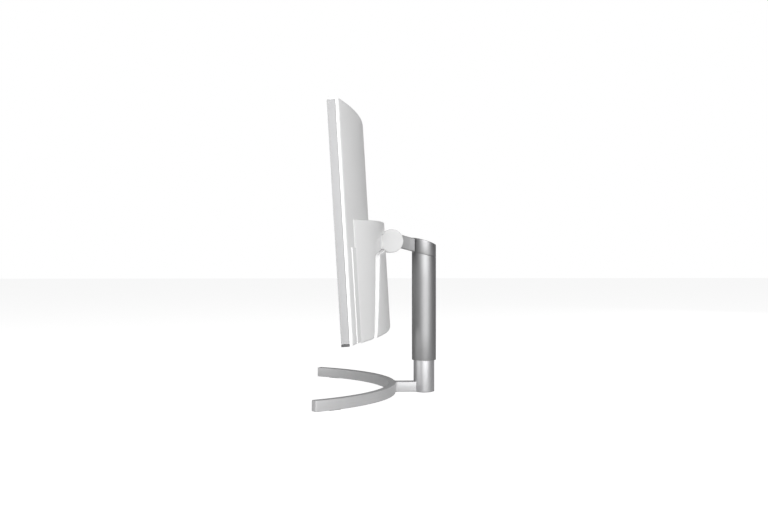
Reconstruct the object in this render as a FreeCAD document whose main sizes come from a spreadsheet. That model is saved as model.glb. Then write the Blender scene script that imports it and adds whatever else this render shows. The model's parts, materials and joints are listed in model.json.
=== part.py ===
"""Curved desktop monitor on a crescent stand.

Frame: origin on the desk under the middle of the column, +X to the right of someone facing the screen,
the screen faces -Y, +Z up. The display is drawn in a frame of its own (x across, y back from the front of
the panel's ends, z up from mid height) and stands in the row frame at its rest tilt.
"""
import FreeCAD, Part
import os
import re

import Sketcher

Vector = FreeCAD.Vector
Rotation = FreeCAD.Rotation

SIZES = [
    # display
    ("panel_width", 826.0, "display, side to side along the chord"),
    ("panel_height", 365.0, "display, top to bottom"),
    ("screen_radius", 1900.0, "curve of the front of the screen"),
    ("trim_depth", 11.7, "front to back of the metal side trims"),
    ("trim_wall", 2.4, "thickness of a side trim across"),
    ("top_trim_height", 3.4, "height of the top trim"),
    ("bottom_trim_height", 3.8, "height of the bottom bezel's bar"),
    ("chin_height", 14.0, "front lip of the bottom bezel"),
    ("chin_wall", 1.6, "thickness of that lip"),
    ("trim_gap", 0.5, "shadow gap behind the trims"),
    ("cover_depth", 16.4, "front of the screen to the back of the back cover"),
    ("cover_wall", 2.2, "wall of the back cover"),
    ("cover_round", 3.6, "rounding of the back cover's rear edges"),
    ("inner_margin", 3.4, "space between the inner stack and the display's edges"),
    ("glass_front", 0.5, "depth at which the glass starts"),
    ("glass_thick", 1.8, "LCD panel"),
    ("stack_gap", 0.3, "gap between the sheets of the optical stack"),
    ("film_thick", 0.6, "optical films"),
    ("guide_thick", 3.0, "light guide"),
    ("reflector_thick", 0.4, "reflector sheet"),
    ("chassis_wall", 1.0, "steel of the back chassis"),
    ("frame_rib", 4.0, "width of the mid frame's rim"),
    ("led_height", 2.6, "height of the LED bar"),
    ("opening_margin", 60.0, "rear housing beside the back cover's opening"),
    ("plate_room", 3.0, "that opening beyond the stand plate"),
    # rear housing
    ("housing_width", 704.0, "rear housing, side to side"),
    ("housing_radius", 1050.0, "curve of the rear housing, seen from above"),
    ("housing_bulge", 28.5, "how far it stands out of the back cover at the middle"),
    ("housing_top", 4.8, "top of the rear housing above mid height"),
    ("housing_drop", 4.6, "how far its back edge hangs below the panel"),
    ("housing_round", 5.0, "rounding of its lower rear edge"),
    ("housing_wall", 2.5, "wall of the rear housing"),
    ("underside_drop", 0.7, "its underside below the panel at the front"),
    ("flange_lap", 6.0, "flange inside the housing's sides"),
    ("flange_width", 756.0, "thin flange of the rear housing"),
    ("flange_thick", 0.9, "thickness of that flange"),
    ("flange_top", 38.0, "top of the flange below mid height"),
    ("channel_depth", 8.0, "channel round the lower rear cover"),
    ("arch_foot", 554.0, "width of the channel's outer edge at the bottom"),
    ("arch_waist", 458.0, "width of that edge at the top of its straight sides"),
    ("arch_waist_drop", 42.0, "level of that point below mid height"),
    ("arch_shoulder", 400.0, "width at the shoulder of the arch"),
    ("arch_shoulder_drop", 24.0, "level of the shoulder below mid height"),
    ("arch_corner", 30.0, "corner radius between side and shoulder"),
    ("arch_crown_radius", 1010.0, "radius of the crown"),
    ("cover_foot", 516.0, "lower rear cover, width at the bottom"),
    ("cover_waist", 388.0, "lower rear cover, width at the top of its sides"),
    ("cover_waist_drop", 58.0, "level of that point below mid height"),
    ("cover_shoulder", 364.0, "width at its shoulder"),
    ("cover_shoulder_drop", 50.5, "level of its shoulder"),
    ("cover_corner", 16.0, "corner radius at its shoulder"),
    ("cover_crown_radius", 2210.0, "radius of its crown"),
    ("lower_cover_wall", 2.2, "wall of the lower rear cover"),
    ("lap_gap", 0.3, "gap between laid-in covers"),
    # ports
    ("port_middle", 130.0, "middle of the port bay, from the centre line"),
    ("port_bay_width", 96.0, "port bay, side to side"),
    ("port_bay_rise", 28.5, "bottom of the port bay above the display's lower edge"),
    ("port_bay_height", 70.0, "port bay, top to bottom"),
    ("board_back", 14.2, "rear face of the main board behind the screen's middle"),
    ("board_thick", 1.6, "circuit boards"),
    ("spacer_diameter", 7.0, "spacers under the main board"),
    ("screw_head", 2.0, "height of its screws' heads"),
    ("sink_width", 52.0, "heat sink, side to side"),
    ("sink_height", 24.0, "heat sink, top to bottom"),
    ("sink_depth", 5.5, "heat sink, out from the board"),
    ("timing_middle", 151.0, "middle of the timing board, from the centre line"),
    ("timing_drop", 61.0, "its middle below mid height"),
    ("timing_width", 110.0, "timing board, side to side"),
    ("timing_height", 30.0, "timing board, top to bottom"),
    ("timing_standoff", 2.6, "timing board behind the chassis at the middle"),
    ("ribbon_width", 24.0, "flat ribbons to the panel"),
    ("ribbon_thick", 0.4, "their thickness"),
    ("ribbon_gap", 5.0, "ends of the ribbons from the board's and the panel's edges"),
    ("socket_depth", 11.0, "sockets, board to mouth"),
    ("socket_wall", 0.5, "metal of a socket's shell"),
    ("socket_floor", 2.0, "back of a socket's hollow above the board"),
    ("socket_slack", 0.2, "port plate round each socket"),
    ("hdmi_width", 15.0, "HDMI socket"),
    ("hdmi_height", 6.0, "HDMI socket"),
    ("displayport_width", 16.0, "DisplayPort socket"),
    ("displayport_height", 6.0, "DisplayPort socket"),
    ("typec_width", 9.6, "USB-C socket"),
    ("typec_height", 4.0, "USB-C socket"),
    ("typea_width", 13.4, "USB-A socket"),
    ("typea_height", 6.6, "USB-A socket"),
    ("audio_diameter", 8.0, "headphone socket"),
    ("audio_bore", 3.6, "its bore"),
    ("inlet_diameter", 11.0, "power inlet"),
    ("inlet_bore", 7.6, "its bore"),
    ("inlet_pin", 2.0, "its pin"),
    ("port_plate_wall", 1.5, "port plate"),
    ("port_plate_lap", 0.4, "port plate under the bay's edge"),
    ("port_skirt_wall", 1.2, "walls of the bay"),
    # wall mount
    ("vesa_pitch", 100.0, "square hole pattern for a wall mount"),
    ("vesa_rise", 70.5, "its middle above the display's lower edge"),
    ("vesa_bore", 4.0, "thread of its inserts"),
    ("insert_diameter", 9.0, "outside of an insert"),
    ("vesa_access", 12.0, "holes in the covers over the inserts"),
    # hinge
    ("tilt_rest", 3.38, "forward lean of the display at rest, degrees"),
    ("hinge_offset", 10.7, "hinge axis behind the rear housing"),
    ("hinge_drop", 28.7, "hinge axis below mid height"),
    ("hinge_width", 90.0, "over the two hinge caps"),
    ("cap_diameter", 37.2, "hinge caps"),
    ("cap_thick", 4.0, "thickness of a hinge cap"),
    ("cap_round", 1.2, "rounding of its outer edge"),
    ("hinge_neck_height", 27.2, "moulded neck of the hinge where it leaves the channel"),
    ("hinge_neck_flare", 13.0, "how far the neck widens there on each side"),
    ("shaft_diameter", 14.0, "hinge shaft"),
    ("running_fit", 0.05, "radial clearance of pins that turn"),
    ("knuckle_diameter", 31.0, "end of the arm round the shaft"),
    ("knuckle_width", 54.0, "width of that end"),
    ("knuckle_flat", 8.0, "arm kept low over the knuckle"),
    ("washer_thick", 1.2, "friction washers"),
    ("ear_wall", 4.0, "ears of the stand plate"),
    ("ear_width", 28.0, "ears, top to bottom"),
    ("ear_room", 0.5, "room round the ears in the hinge cover"),
    ("hinge_cover_wall", 1.5, "cheek walls of the hinge cover"),
    ("knuckle_room", 2.0, "room round the knuckle in the hinge cover"),
    ("plate_back", 13.0, "stand plate behind the screen's middle"),
    ("plate_wall", 3.0, "stand plate"),
    ("plate_width", 124.0, "stand plate, side to side"),
    ("plate_top", 8.0, "top of the plate below mid height"),
    ("plate_rise", 10.5, "bottom of the plate above the display's lower edge"),
    # column
    ("arm_reach", 62.0, "hinge axis in front of the column"),
    ("hinge_height", 278.0, "hinge axis above the desk"),
    ("arm_slope", 15.2, "fall of the arm towards the column, degrees"),
    ("arm_lift", 4.4, "arm's middle line above the hinge axis"),
    ("arm_height", 23.5, "arm, across its slope"),
    ("arm_width", 34.0, "arm where it meets the column head"),
    ("sleeve_diameter", 44.5, "outer tube"),
    ("sleeve_wall", 2.0, "its wall"),
    ("sleeve_bottom", 59.2, "its lower end above the desk"),
    ("seam_height", 253.3, "seam between sleeve and head, at the axis"),
    ("seam_slope", 12.0, "fall of the seam towards the back, degrees"),
    ("head_front", 284.6, "top of the head at the front"),
    ("head_back", 271.4, "top of the head at the back"),
    ("head_radius", 135.0, "curve of the head's top"),
    ("seam_gap", 0.25, "gap of the seam"),
    ("spigot_length", 16.0, "head inside the sleeve"),
    ("spigot_inset", 3.0, "top of that spigot below the seam's middle"),
    ("spigot_wall", 3.5, "its wall"),
    ("spigot_floor", 4.0, "metal over its hollow"),
    ("arm_screw_bore", 3.4, "screw that holds the arm"),
    ("arm_screw_head", 4.9, "its head"),
    ("arm_screw_depth", 12.0, "underside of its head in front of the column's axis"),
    ("arm_screw_reach", 18.0, "its point in front of the column's skin"),
    ("post_diameter", 38.5, "inner tube"),
    ("post_wall", 3.0, "its wall"),
    ("post_top", 206.0, "its upper end above the desk"),
    ("post_round", 1.0, "rounding of its lower edge"),
    ("bush_height", 18.0, "guide bushes"),
    ("bush_inset", 0.6, "lower bush above the sleeve's end"),
    ("bush_edge", 0.3, "its softened edge"),
    ("bush_lip", 2.0, "upper bush over the post's end"),
    ("cylinder_diameter", 20.0, "lift cylinder"),
    ("cylinder_wall", 2.5, "its wall"),
    ("cylinder_end", 4.0, "its two ends"),
    ("cylinder_seat", 13.0, "its lower end above the pads"),
    ("cylinder_top", 170.0, "its upper end above the desk"),
    ("rod_diameter", 8.0, "lift rod"),
    ("piston_height", 6.0, "its piston"),
    ("piston_level", 50.0, "piston above the desk at rest"),
    # base
    ("arc_radius", 302.0, "outer edge of the crescent foot"),
    ("arc_reach", 52.9, "its back, in front of the column"),
    ("arc_thick", 13.0, "front to back of the bar it is bent from"),
    ("arc_angle", 57.9, "half angle of the crescent, degrees"),
    ("arc_height", 18.4, "its height"),
    ("arc_edge", 0.8, "softened edges"),
    ("neck_width", 24.0, "bar between crescent and post"),
    ("foot_gap", 0.8, "rubber pads under the metal"),
    ("pad_inset", 7.9, "middles of the outer pads in from the crescent's ends, degrees"),
    ("pad_spread", 17.0, "middles of the inner pads from the crescent's middle, degrees"),
    ("pad_length", 26.0, "pads along the crescent"),
    ("pad_margin", 2.5, "metal beside the pads"),
    ("neck_fillet", 5.0, "inner corners where bar and crescent meet"),
    ("neck_plug", 12.0, "boss of the bar inside the post"),
    ("base_screw_bore", 8.0, "screw that holds the post down"),
    ("base_screw_head", 17.0, "its head"),
    ("base_screw_sink", 5.0, "recess for its head"),
    ("base_screw_socket", 5.0, "its drive"),
    # control stick
    ("stick_depth", 25.5, "stick's axis behind the screen's middle"),
    ("stick_rise", 7.5, "its pivot above the display's lower edge"),
    ("stick_diameter", 3.0, "stem"),
    ("knob_diameter", 15.0, "knob"),
    ("knob_height", 5.0, "knob"),
    ("knob_drop", 7.5, "top of the knob below the display's lower edge"),
    ("knob_round", 1.2, "its softened edges"),
    ("ring_diameter", 11.4, "cradle ring"),
    ("ring_wall", 1.7, "its wall"),
    ("ring_height", 4.0, "its height"),
    ("ring_gap", 1.0, "between the ring and the core"),
    ("core_height", 5.0, "core"),
    ("well_gap", 0.8, "housing round the ring"),
    ("well_depth", 7.5, "top of the housing's well above the pivot"),
    ("stick_housing_top", 9.0, "top of the housing above the pivot"),
    ("stick_board_thick", 1.2, "stick's circuit board"),
    ("collar", 1.0, "collar on top of the stem"),
    ("trunnion_diameter", 1.6, "pins of cradle and core"),
    ("stick_wall", 3.0, "stick housing round the cradle"),
]
NAMES = {name for name, _, _ in SIZES}
SINK_FINS = 12
WASHERS_A_SIDE = 2

doc = FreeCAD.newDocument("curved_monitor")
sheet = doc.addObject("Spreadsheet::Sheet", "dims")
for row, (name, number, meaning) in enumerate(SIZES, start=1):
    sheet.set("A%d" % row, name)
    sheet.set("B%d" % row, str(number))
    sheet.set("C%d" % row, meaning)
    sheet.setAlias("B%d" % row, name)
doc.recompute()


# ---------------------------------------------------------------- formulas
def formula(text):
    """Write the sheet's name in front of every size that a formula uses."""
    def written(word):
        return "dims." + word[0] if word[0] in NAMES else word[0]
    return re.sub(r"[a-z][a-z_]*", written, str(text))


def amount(text):
    """The number that a formula gives now."""
    result = sheet.evalExpression(formula(text))
    return float(getattr(result, "Value", result))


def bind(thing, formulas):
    for prop, text in formulas.items():
        thing.setExpression(prop, formula(text))
    return thing


SAG = "(screen_radius-sqrt(screen_radius^2-(panel_width/2)^2))"
COVER_BACK = f"({SAG}+cover_depth)"
HOUSING_BACK = f"({COVER_BACK}+housing_bulge)"
HINGE_Y = f"({HOUSING_BACK}+hinge_offset)"
HALF_WIDTH = "(panel_width/2)"
HALF_HEIGHT = "(panel_height/2)"
CHASSIS_FRONT = "(glass_front+glass_thick+film_thick+guide_thick+reflector_thick+4*stack_gap)"
CHASSIS_BACK = f"({CHASSIS_FRONT}+chassis_wall)"
BOARD_Y = f"({SAG}+board_back)"
SOCKET_MOUTH = f"({BOARD_Y}+socket_depth)"
PLATE_Y = f"({SAG}+plate_back)"
STICK_Y = f"({SAG}+stick_depth)"
HINGE_AT = (HINGE_Y, "-hinge_drop")
# past everything in the display, and from its front to there
FAR = "panel_height"
THROUGH = ("0", FAR)
# levels below mid height of what keeps its distance from the display's lower edge
VESA_DROP = f"({HALF_HEIGHT}-vesa_rise)"
PORT_BAY_BOTTOM = f"({HALF_HEIGHT}-port_bay_rise)"
PORT_BAY_TOP = f"({PORT_BAY_BOTTOM}-port_bay_height)"
PLATE_BOTTOM = f"({HALF_HEIGHT}-plate_rise)"
STICK_PIVOT = f"({HALF_HEIGHT}-stick_rise)"
KNOB_TOP = f"({HALF_HEIGHT}+knob_drop)"

# the display's frame, hung on the hinge axis
display_frame = doc.addObject("App::Placement", "display_frame")
display_frame.Placement = FreeCAD.Placement(Vector(), Rotation(Vector(1, 0, 0), amount("tilt_rest")))
LEAN = "(tilt_rest*1deg)"
bind(display_frame, {
    "Placement.Rotation.Angle": LEAN,
    "Placement.Base.y": f"-arm_reach-{HINGE_Y}*cos({LEAN})-hinge_drop*sin({LEAN})",
    "Placement.Base.z": f"hinge_height-{HINGE_Y}*sin({LEAN})+hinge_drop*cos({LEAN})",
})


# ---------------------------------------------------------------- shapes
TURNS = {"x": Rotation(Vector(0, 1, 0), 90), "y": Rotation(Vector(1, 0, 0), -90), "z": Rotation()}
PLANES = {"XY": Rotation(), "XZ": Rotation(Vector(1, 0, 0), 90), "YZ": Rotation(0.5, 0.5, 0.5, 0.5)}
count = {}


def fresh(kind):
    """A name of its own for a helper object."""
    count[kind] = count.get(kind, 0) + 1
    return "%s_%d" % (kind, count[kind])


def place(thing, at):
    return bind(thing, {"Placement.Base.x": at[0], "Placement.Base.y": at[1], "Placement.Base.z": at[2]})


def block(x, y, z):
    """A box from one corner to the other, each span a pair of formulas."""
    thing = doc.addObject("Part::Box", fresh("block"))
    place(thing, (x[0], y[0], z[0]))
    return bind(thing, {"Length": f"({x[1]})-({x[0]})", "Width": f"({y[1]})-({y[0]})",
                        "Height": f"({z[1]})-({z[0]})"})


def rod(along, diameter, span, at=("0", "0")):
    """A round bar along an axis; at gives the other two coordinates in x, y, z order."""
    thing = doc.addObject("Part::Cylinder", fresh("rod"))
    thing.Placement = FreeCAD.Placement(Vector(), TURNS[along])
    spot = list(at)
    spot.insert("xyz".index(along), span[0])
    place(thing, spot)
    return bind(thing, {"Radius": f"({diameter})/2", "Height": f"({span[1]})-({span[0]})"})


def cut(base, tool):
    thing = doc.addObject("Part::Cut", fresh("cut"))
    thing.Base = base
    thing.Tool = tool
    return thing


def join(*parts):
    thing = doc.addObject("Part::MultiFuse", fresh("join"))
    thing.Shapes = list(parts)
    return thing


def overlap(*parts):
    thing = doc.addObject("Part::MultiCommon", fresh("overlap"))
    thing.Shapes = list(parts)
    return thing


def group(*parts):
    """Separate solids that share a node."""
    thing = doc.addObject("Part::Compound", fresh("group"))
    thing.Links = list(parts)
    return thing


def tube(along, outer, inner, span, at=("0", "0")):
    return cut(rod(along, outer, span, at), rod(along, inner, (f"({span[0]})-1", f"({span[1]})+1"), at))


def drum(depth, z):
    """The solid inside the screen's cylinder, out to a depth behind the screen's front."""
    return rod("z", f"2*(screen_radius+{depth})", z, ("0", f"{SAG}-screen_radius"))


def curved_slab(front, back, x, z):
    """A slab that follows the screen's curve between two depths."""
    room = block(x, ("-panel_height", "panel_height"), z)
    tall = (f"({z[0]})-1", f"({z[1]})+1")
    return cut(overlap(room, drum(back, tall)), drum(front, tall))


def sides(half):
    return (f"-({half})", half)


def draw(sketch, points):
    """Draw a closed outline, every point of it bound to the sheet.

    A point is (x, y) or (x, y, radius), the radius of the arc to the next point, which bulges outwards of an
    outline that runs anticlockwise.
    """
    spots = [Vector(amount(point[0]), amount(point[1]), 0) for point in points]
    for i, point in enumerate(points):
        start, end = spots[i], spots[(i + 1) % len(spots)]
        if len(point) == 2:
            sketch.addGeometry(Part.LineSegment(start, end), False)
            continue
        radius = amount(point[2])
        chord = end - start
        side = Vector(-chord.y, chord.x, 0).normalize()
        middle = (start + end) * 0.5
        height = (radius * radius - chord.Length ** 2 / 4) ** 0.5
        centre = middle + side * height
        top = centre - side * radius
        sketch.addGeometry(Part.Arc(start, top, end), False)
    for i in range(len(points)):
        sketch.addConstraint(Sketcher.Constraint("Coincident", i, 2, (i + 1) % len(points), 1))
    for i, point in enumerate(points):
        pairs = (("DistanceX", point[0], spots[i].x), ("DistanceY", point[1], spots[i].y))
        for kind, text, number in pairs:
            index = sketch.addConstraint(Sketcher.Constraint(kind, -1, 1, i, 1, number))
            sketch.setExpression("Constraints[%d]" % index, formula(text))
        if len(point) == 3:
            index = sketch.addConstraint(Sketcher.Constraint("Radius", i, amount(point[2])))
            sketch.setExpression("Constraints[%d]" % index, formula(point[2]))
    return sketch


def prism(plane, points, span):
    """An outline on a plane, drawn out along the plane's normal from span[0] to span[1]."""
    sketch = doc.addObject("Sketcher::SketchObject", fresh("outline"))
    sketch.Placement = FreeCAD.Placement(Vector(), PLANES[plane])
    draw(sketch, points)
    thing = doc.addObject("Part::Extrusion", fresh("prism"))
    thing.Base = sketch
    thing.DirMode = "Normal"
    thing.Solid = True
    return bind(thing, {"LengthFwd": span[1], "LengthRev": f"-({span[0]})"})


def soften(base, radius, choose):
    """Round every edge that the chooser takes."""
    doc.recompute()
    size = amount(radius)
    edges = [i for i, edge in enumerate(base.Shape.Edges, start=1) if choose(edge)]
    if not edges:
        raise RuntimeError("no edge to round on " + base.Name)
    thing = doc.addObject("Part::Fillet", fresh("soft"))
    thing.Base = base
    thing.Edges = [(i, size, size) for i in edges]
    return thing


# ---------------------------------------------------------------- PartDesign helpers
def body(name):
    return doc.addObject("PartDesign::Body", name)


def sketch_on(owner, role, points=None, circles=()):
    sketch = owner.newObject("Sketcher::SketchObject", fresh("sketch"))
    plane = [item for item in owner.Origin.OriginFeatures if item.Role == role][0]
    sketch.AttachmentSupport = [(plane, "")]
    sketch.MapMode = "FlatFace"
    if points:
        draw(sketch, points)
    for diameter, x, y in circles:
        spot = Vector(amount(x), amount(y), 0)
        index = sketch.addGeometry(Part.Circle(spot, Vector(0, 0, 1), amount(diameter) / 2), False)
        for kind, text, number in (("DistanceX", x, spot.x), ("DistanceY", y, spot.y)):
            rule = sketch.addConstraint(Sketcher.Constraint(kind, -1, 1, index, 3, number))
            sketch.setExpression("Constraints[%d]" % rule, formula(text))
        rule = sketch.addConstraint(Sketcher.Constraint("Diameter", index, amount(diameter)))
        sketch.setExpression("Constraints[%d]" % rule, formula(diameter))
    return sketch


def sweep_feature(owner, kind, sketch, start, end):
    """Pad or Pocket from one level of the sketch's normal to another."""
    feature = owner.newObject("PartDesign::" + kind, fresh(kind.lower()))
    feature.Profile = sketch
    bind(sketch, {"AttachmentOffset.Base.z": start})
    bind(feature, {"Length": f"({end})-({start})"})
    if kind == "Pocket":
        feature.Reversed = True
    doc.recompute()
    return feature


def pad(owner, sketch, start, end):
    return sweep_feature(owner, "Pad", sketch, start, end)


def pocket(owner, sketch, start, end):
    """Cut, and see that it did."""
    before = owner.Shape.Volume
    feature = sweep_feature(owner, "Pocket", sketch, start, end)
    if owner.Shape.Volume > before - 0.01:
        raise RuntimeError("a pocket cut nothing in " + owner.Name)
    return feature


def round_edges(owner, feature, radius, choose):
    names = ["Edge%d" % i for i, edge in enumerate(feature.Shape.Edges, start=1) if choose(edge)]
    if not names:
        raise RuntimeError("no edge to round on " + owner.Name)
    fillet = owner.newObject("PartDesign::Fillet", fresh("fillet"))
    fillet.Base = (feature, names)
    bind(fillet, {"Radius": radius})
    doc.recompute()
    return fillet


# ---------------------------------------------------------------- the list of nodes
nodes = []


def node(label, thing, in_display=False):
    if in_display and thing.TypeId in ("Part::Box", "Part::Cylinder"):
        thing = group(thing)
    thing.Label = label
    if in_display:
        thing.setExpression("Placement", "display_frame.Placement")
    nodes.append(thing)
    return thing


# ================================================================ display: trims and covers
def display_trims():
    front = curved_slab("0", "trim_depth", sides(HALF_WIDTH), sides(HALF_HEIGHT))
    low = f"-{HALF_HEIGHT}+bottom_trim_height"
    high = f"{HALF_HEIGHT}-top_trim_height"
    everywhere = ("-panel_height", "panel_height")
    inside = f"{HALF_WIDTH}-trim_wall"
    for label, x in (("side_trim_left", (f"-{HALF_WIDTH}", f"-({inside})")),
                     ("side_trim_right", (inside, HALF_WIDTH))):
        node(label, overlap(front, block(x, everywhere, (low, high))), True)
    node("top_trim", overlap(front, block(sides(HALF_WIDTH), everywhere, (high, HALF_HEIGHT))), True)
    chin = curved_slab("0", "chin_wall", sides(inside), (low, f"-{HALF_HEIGHT}+chin_height"))
    bar = overlap(front, block(sides(HALF_WIDTH), everywhere, (f"-{HALF_HEIGHT}", low)))
    node("bottom_bezel", join(bar, chin), True)


def rear_edges(edge):
    """The four edges round a curved slab's rear face: they lie behind its other edges at each end."""
    box = edge.BoundBox
    depth = amount("screen_radius+cover_depth")
    centre = amount(f"{SAG}-screen_radius")
    for vertex in edge.Vertexes:
        if abs((vertex.X ** 2 + (vertex.Y - centre) ** 2) ** 0.5 - depth) > 0.01:
            return False
    return box.DiagonalLength > 50


def back_cover():
    front = "trim_depth+trim_gap"
    shell = soften(curved_slab(front, "cover_depth", sides(HALF_WIDTH), sides(HALF_HEIGHT)),
                   "cover_round", rear_edges)
    half_x, half_z = f"{HALF_WIDTH}-cover_wall", f"{HALF_HEIGHT}-cover_wall"
    inner = curved_slab(f"{front}-1", "cover_depth-cover_wall", sides(half_x), sides(half_z))
    opening = block(sides("housing_width/2-opening_margin"), THROUGH,
                    (f"-{PLATE_BOTTOM}-plate_room", "plate_room-plate_top"))
    node("back_cover", cut(cut(shell, inner), opening), True)


# ================================================================ display: rear housing
LOW = f"(-{HALF_HEIGHT}-housing_drop)"
# how far a shape that only cuts runs past what it cuts
PAST = "20"


def arch(foot, waist, waist_drop, shoulder, shoulder_drop, corner, crown, inset="0"):
    """Outline of the channel or of the cover in it: sloping sides, round shoulders and a low crown."""
    def out(width, side):
        return f"{side}({width}/2-({inset}))"
    return [
        (out(foot, "-"), f"{LOW}-{PAST}"), (out(foot, ""), f"{LOW}-{PAST}"),
        (out(waist, ""), f"-{waist_drop}-({inset})", corner),
        (out(shoulder, ""), f"-{shoulder_drop}-({inset})", crown),
        (out(shoulder, "-"), f"-{shoulder_drop}-({inset})", corner),
        (out(waist, "-"), f"-{waist_drop}-({inset})"),
    ]


def upright(points, span=THROUGH):
    """An outline in the display's x and z, drawn out from front to back."""
    return prism("XZ", points, (f"-({span[1]})", f"-({span[0]})"))


CHANNEL = ("arch_foot", "arch_waist", "arch_waist_drop", "arch_shoulder", "arch_shoulder_drop",
           "arch_corner", "arch_crown_radius")
LOWER = ("cover_foot", "cover_waist", "cover_waist_drop", "cover_shoulder", "cover_shoulder_drop",
         "cover_corner", "cover_crown_radius")


BELLY_SPAN = (f"{LOW}-40", "housing_top+1")


def belly(inset, z, half="housing_width/2"):
    """The solid inside the rear housing's curve."""
    room = block(sides(half), THROUGH, z)
    return overlap(room, rod("z", f"2*(housing_radius-({inset}))", (f"({z[0]})-1", f"({z[1]})+1"),
                             ("0", f"{HOUSING_BACK}-housing_radius")))


def slanted_floor(inset):
    """Everything above the slanting underside of the rear housing."""
    start = f"-{HALF_HEIGHT}-underside_drop+({inset})"
    return prism("YZ", [
        ("0", start), (HOUSING_BACK, f"{LOW}+({inset})"), (FAR, f"{LOW}+({inset})"), (FAR, FAR), ("0", FAR),
    ], sides(HALF_WIDTH))


def lower_rear_edge(edge):
    box = edge.BoundBox
    return (box.XLength > 300 and box.ZMax < -amount(HALF_HEIGHT) + 3
            and box.YMax > amount(HOUSING_BACK) - 1 and box.ZMin < amount(LOW) + 8)


def rear_housing():
    tall = (f"{LOW}-1", "housing_top")
    screen_side = drum("cover_depth", (f"{LOW}-{PAST}", f"housing_top+{PAST}"))
    solid = soften(cut(overlap(belly("0", tall), slanted_floor("0")), screen_side),
                   "housing_round", lower_rear_edge)
    pocket_room = cut(upright(arch(*CHANNEL)), belly("channel_depth", BELLY_SPAN))
    skin = cut(solid, pocket_room)
    inner_z = (f"{LOW}-1", "housing_top-housing_wall")
    cavity = overlap(belly("housing_wall", inner_z, "housing_width/2-housing_wall"),
                     slanted_floor("housing_wall"))
    behind = cut(upright(arch(*CHANNEL, inset="-housing_wall")),
                 belly("channel_depth+housing_wall", BELLY_SPAN))
    shell = cut(skin, cut(cavity, behind))
    flange = curved_slab("cover_depth", "cover_depth+flange_thick", sides("flange_width/2"),
                         (f"-{HALF_HEIGHT}", "-flange_top"))
    hollow = block(sides("housing_width/2-flange_lap"), THROUGH, (f"-{HALF_HEIGHT}-{PAST}", "0"))
    shell = join(shell, cut(flange, hollow))
    ear_room = ("-hinge_drop-ear_width/2-hinge_cover_wall", "-hinge_drop+ear_width/2+hinge_cover_wall")
    windows = [block(sides("hinge_width/2-cap_thick-1"), THROUGH, ear_room)]
    windows += vesa_holes("vesa_access+1", THROUGH)
    windows += [port_window("0"), rod("z", "stick_diameter+6", (f"{LOW}-5", f"{LOW}+12"), ("0", STICK_Y))]
    node("rear_housing", cut(shell, join(*windows)), True)
    return solid


def vesa_spots():
    return [(f"{side}vesa_pitch/2", f"-{VESA_DROP}{level}vesa_pitch/2")
            for side in ("-", "") for level in "+-"]


def vesa_holes(diameter, span):
    return [rod("y", diameter, span, (x, z)) for x, z in vesa_spots()]


def port_window(margin):
    return block((f"-port_middle-port_bay_width/2-{margin}", f"-port_middle+port_bay_width/2+{margin}"),
                 THROUGH, (f"-{PORT_BAY_BOTTOM}-{margin}", f"-{PORT_BAY_TOP}+{margin}"))


def lower_rear_cover(solid):
    tall = BELLY_SPAN
    outside = overlap(solid, upright(arch(*LOWER)))
    skirted = cut(outside, belly("channel_depth-lap_gap", tall))
    inside = overlap(upright(arch(*LOWER, inset="lower_cover_wall")), belly("lower_cover_wall", tall),
                     slanted_floor("lower_cover_wall"))
    hinge_room = rod("x", "cap_diameter+2*lap_gap", sides("hinge_width/2+lap_gap"), HINGE_AT)
    openings = join(port_window("0"), hinge_room, *vesa_holes("vesa_access", THROUGH))
    node("lower_rear_cover", cut(cut(skirted, inside), openings), True)


# ================================================================ display: what is inside
def inner_stack():
    half_x, half_z = f"{HALF_WIDTH}-inner_margin", f"{HALF_HEIGHT}-top_trim_height-1"
    low = f"-{HALF_HEIGHT}+bottom_trim_height+1"
    films = "glass_front+glass_thick+stack_gap"
    guide = f"{films}+film_thick+stack_gap"
    mirror = f"{guide}+guide_thick+stack_gap"
    glass = curved_slab("glass_front", "glass_front+glass_thick", sides(half_x), (low, half_z))
    lip_room = curved_slab("-1", "chin_wall+0.2", sides(HALF_WIDTH),
                           (f"-{HALF_HEIGHT}", f"-{HALF_HEIGHT}+chin_height+lap_gap"))
    node("lcd_panel", cut(glass, lip_room), True)
    rim = curved_slab(films, CHASSIS_FRONT, sides(half_x), (low, half_z))
    in_x, in_low, in_high = f"{half_x}-frame_rib", f"{low}+frame_rib", f"{half_z}-frame_rib"
    hole = block(sides(in_x), ("-panel_height", "panel_height"), (in_low, in_high))
    node("mid_frame", cut(rim, hole), True)
    sheet_x = sides(f"{in_x}-stack_gap")
    sheet_low, sheet_high = f"{in_low}+stack_gap", f"{in_high}-stack_gap"
    led_top = f"{sheet_low}+led_height"
    layers = [("optical_films", films, "film_thick", (sheet_low, sheet_high)),
              ("light_guide", guide, "guide_thick", (f"{led_top}+stack_gap", sheet_high)),
              ("led_bar", guide, "guide_thick", (sheet_low, led_top)),
              ("reflector_sheet", mirror, "reflector_thick", (sheet_low, sheet_high))]
    for label, front, thick, z in layers:
        node(label, curved_slab(front, f"{front}+{thick}", sheet_x, z), True)
    node("back_chassis", curved_slab(CHASSIS_FRONT, CHASSIS_BACK, sides(half_x), (low, half_z)), True)


def spacers(diameter, top, spots):
    """Round spacers that stand on the back chassis and reach back to a level."""
    chassis = drum(CHASSIS_BACK, (f"{LOW}-10", "panel_height"))
    return group(*[cut(rod("y", diameter, ("0", top), spot), chassis) for spot in spots])


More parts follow.
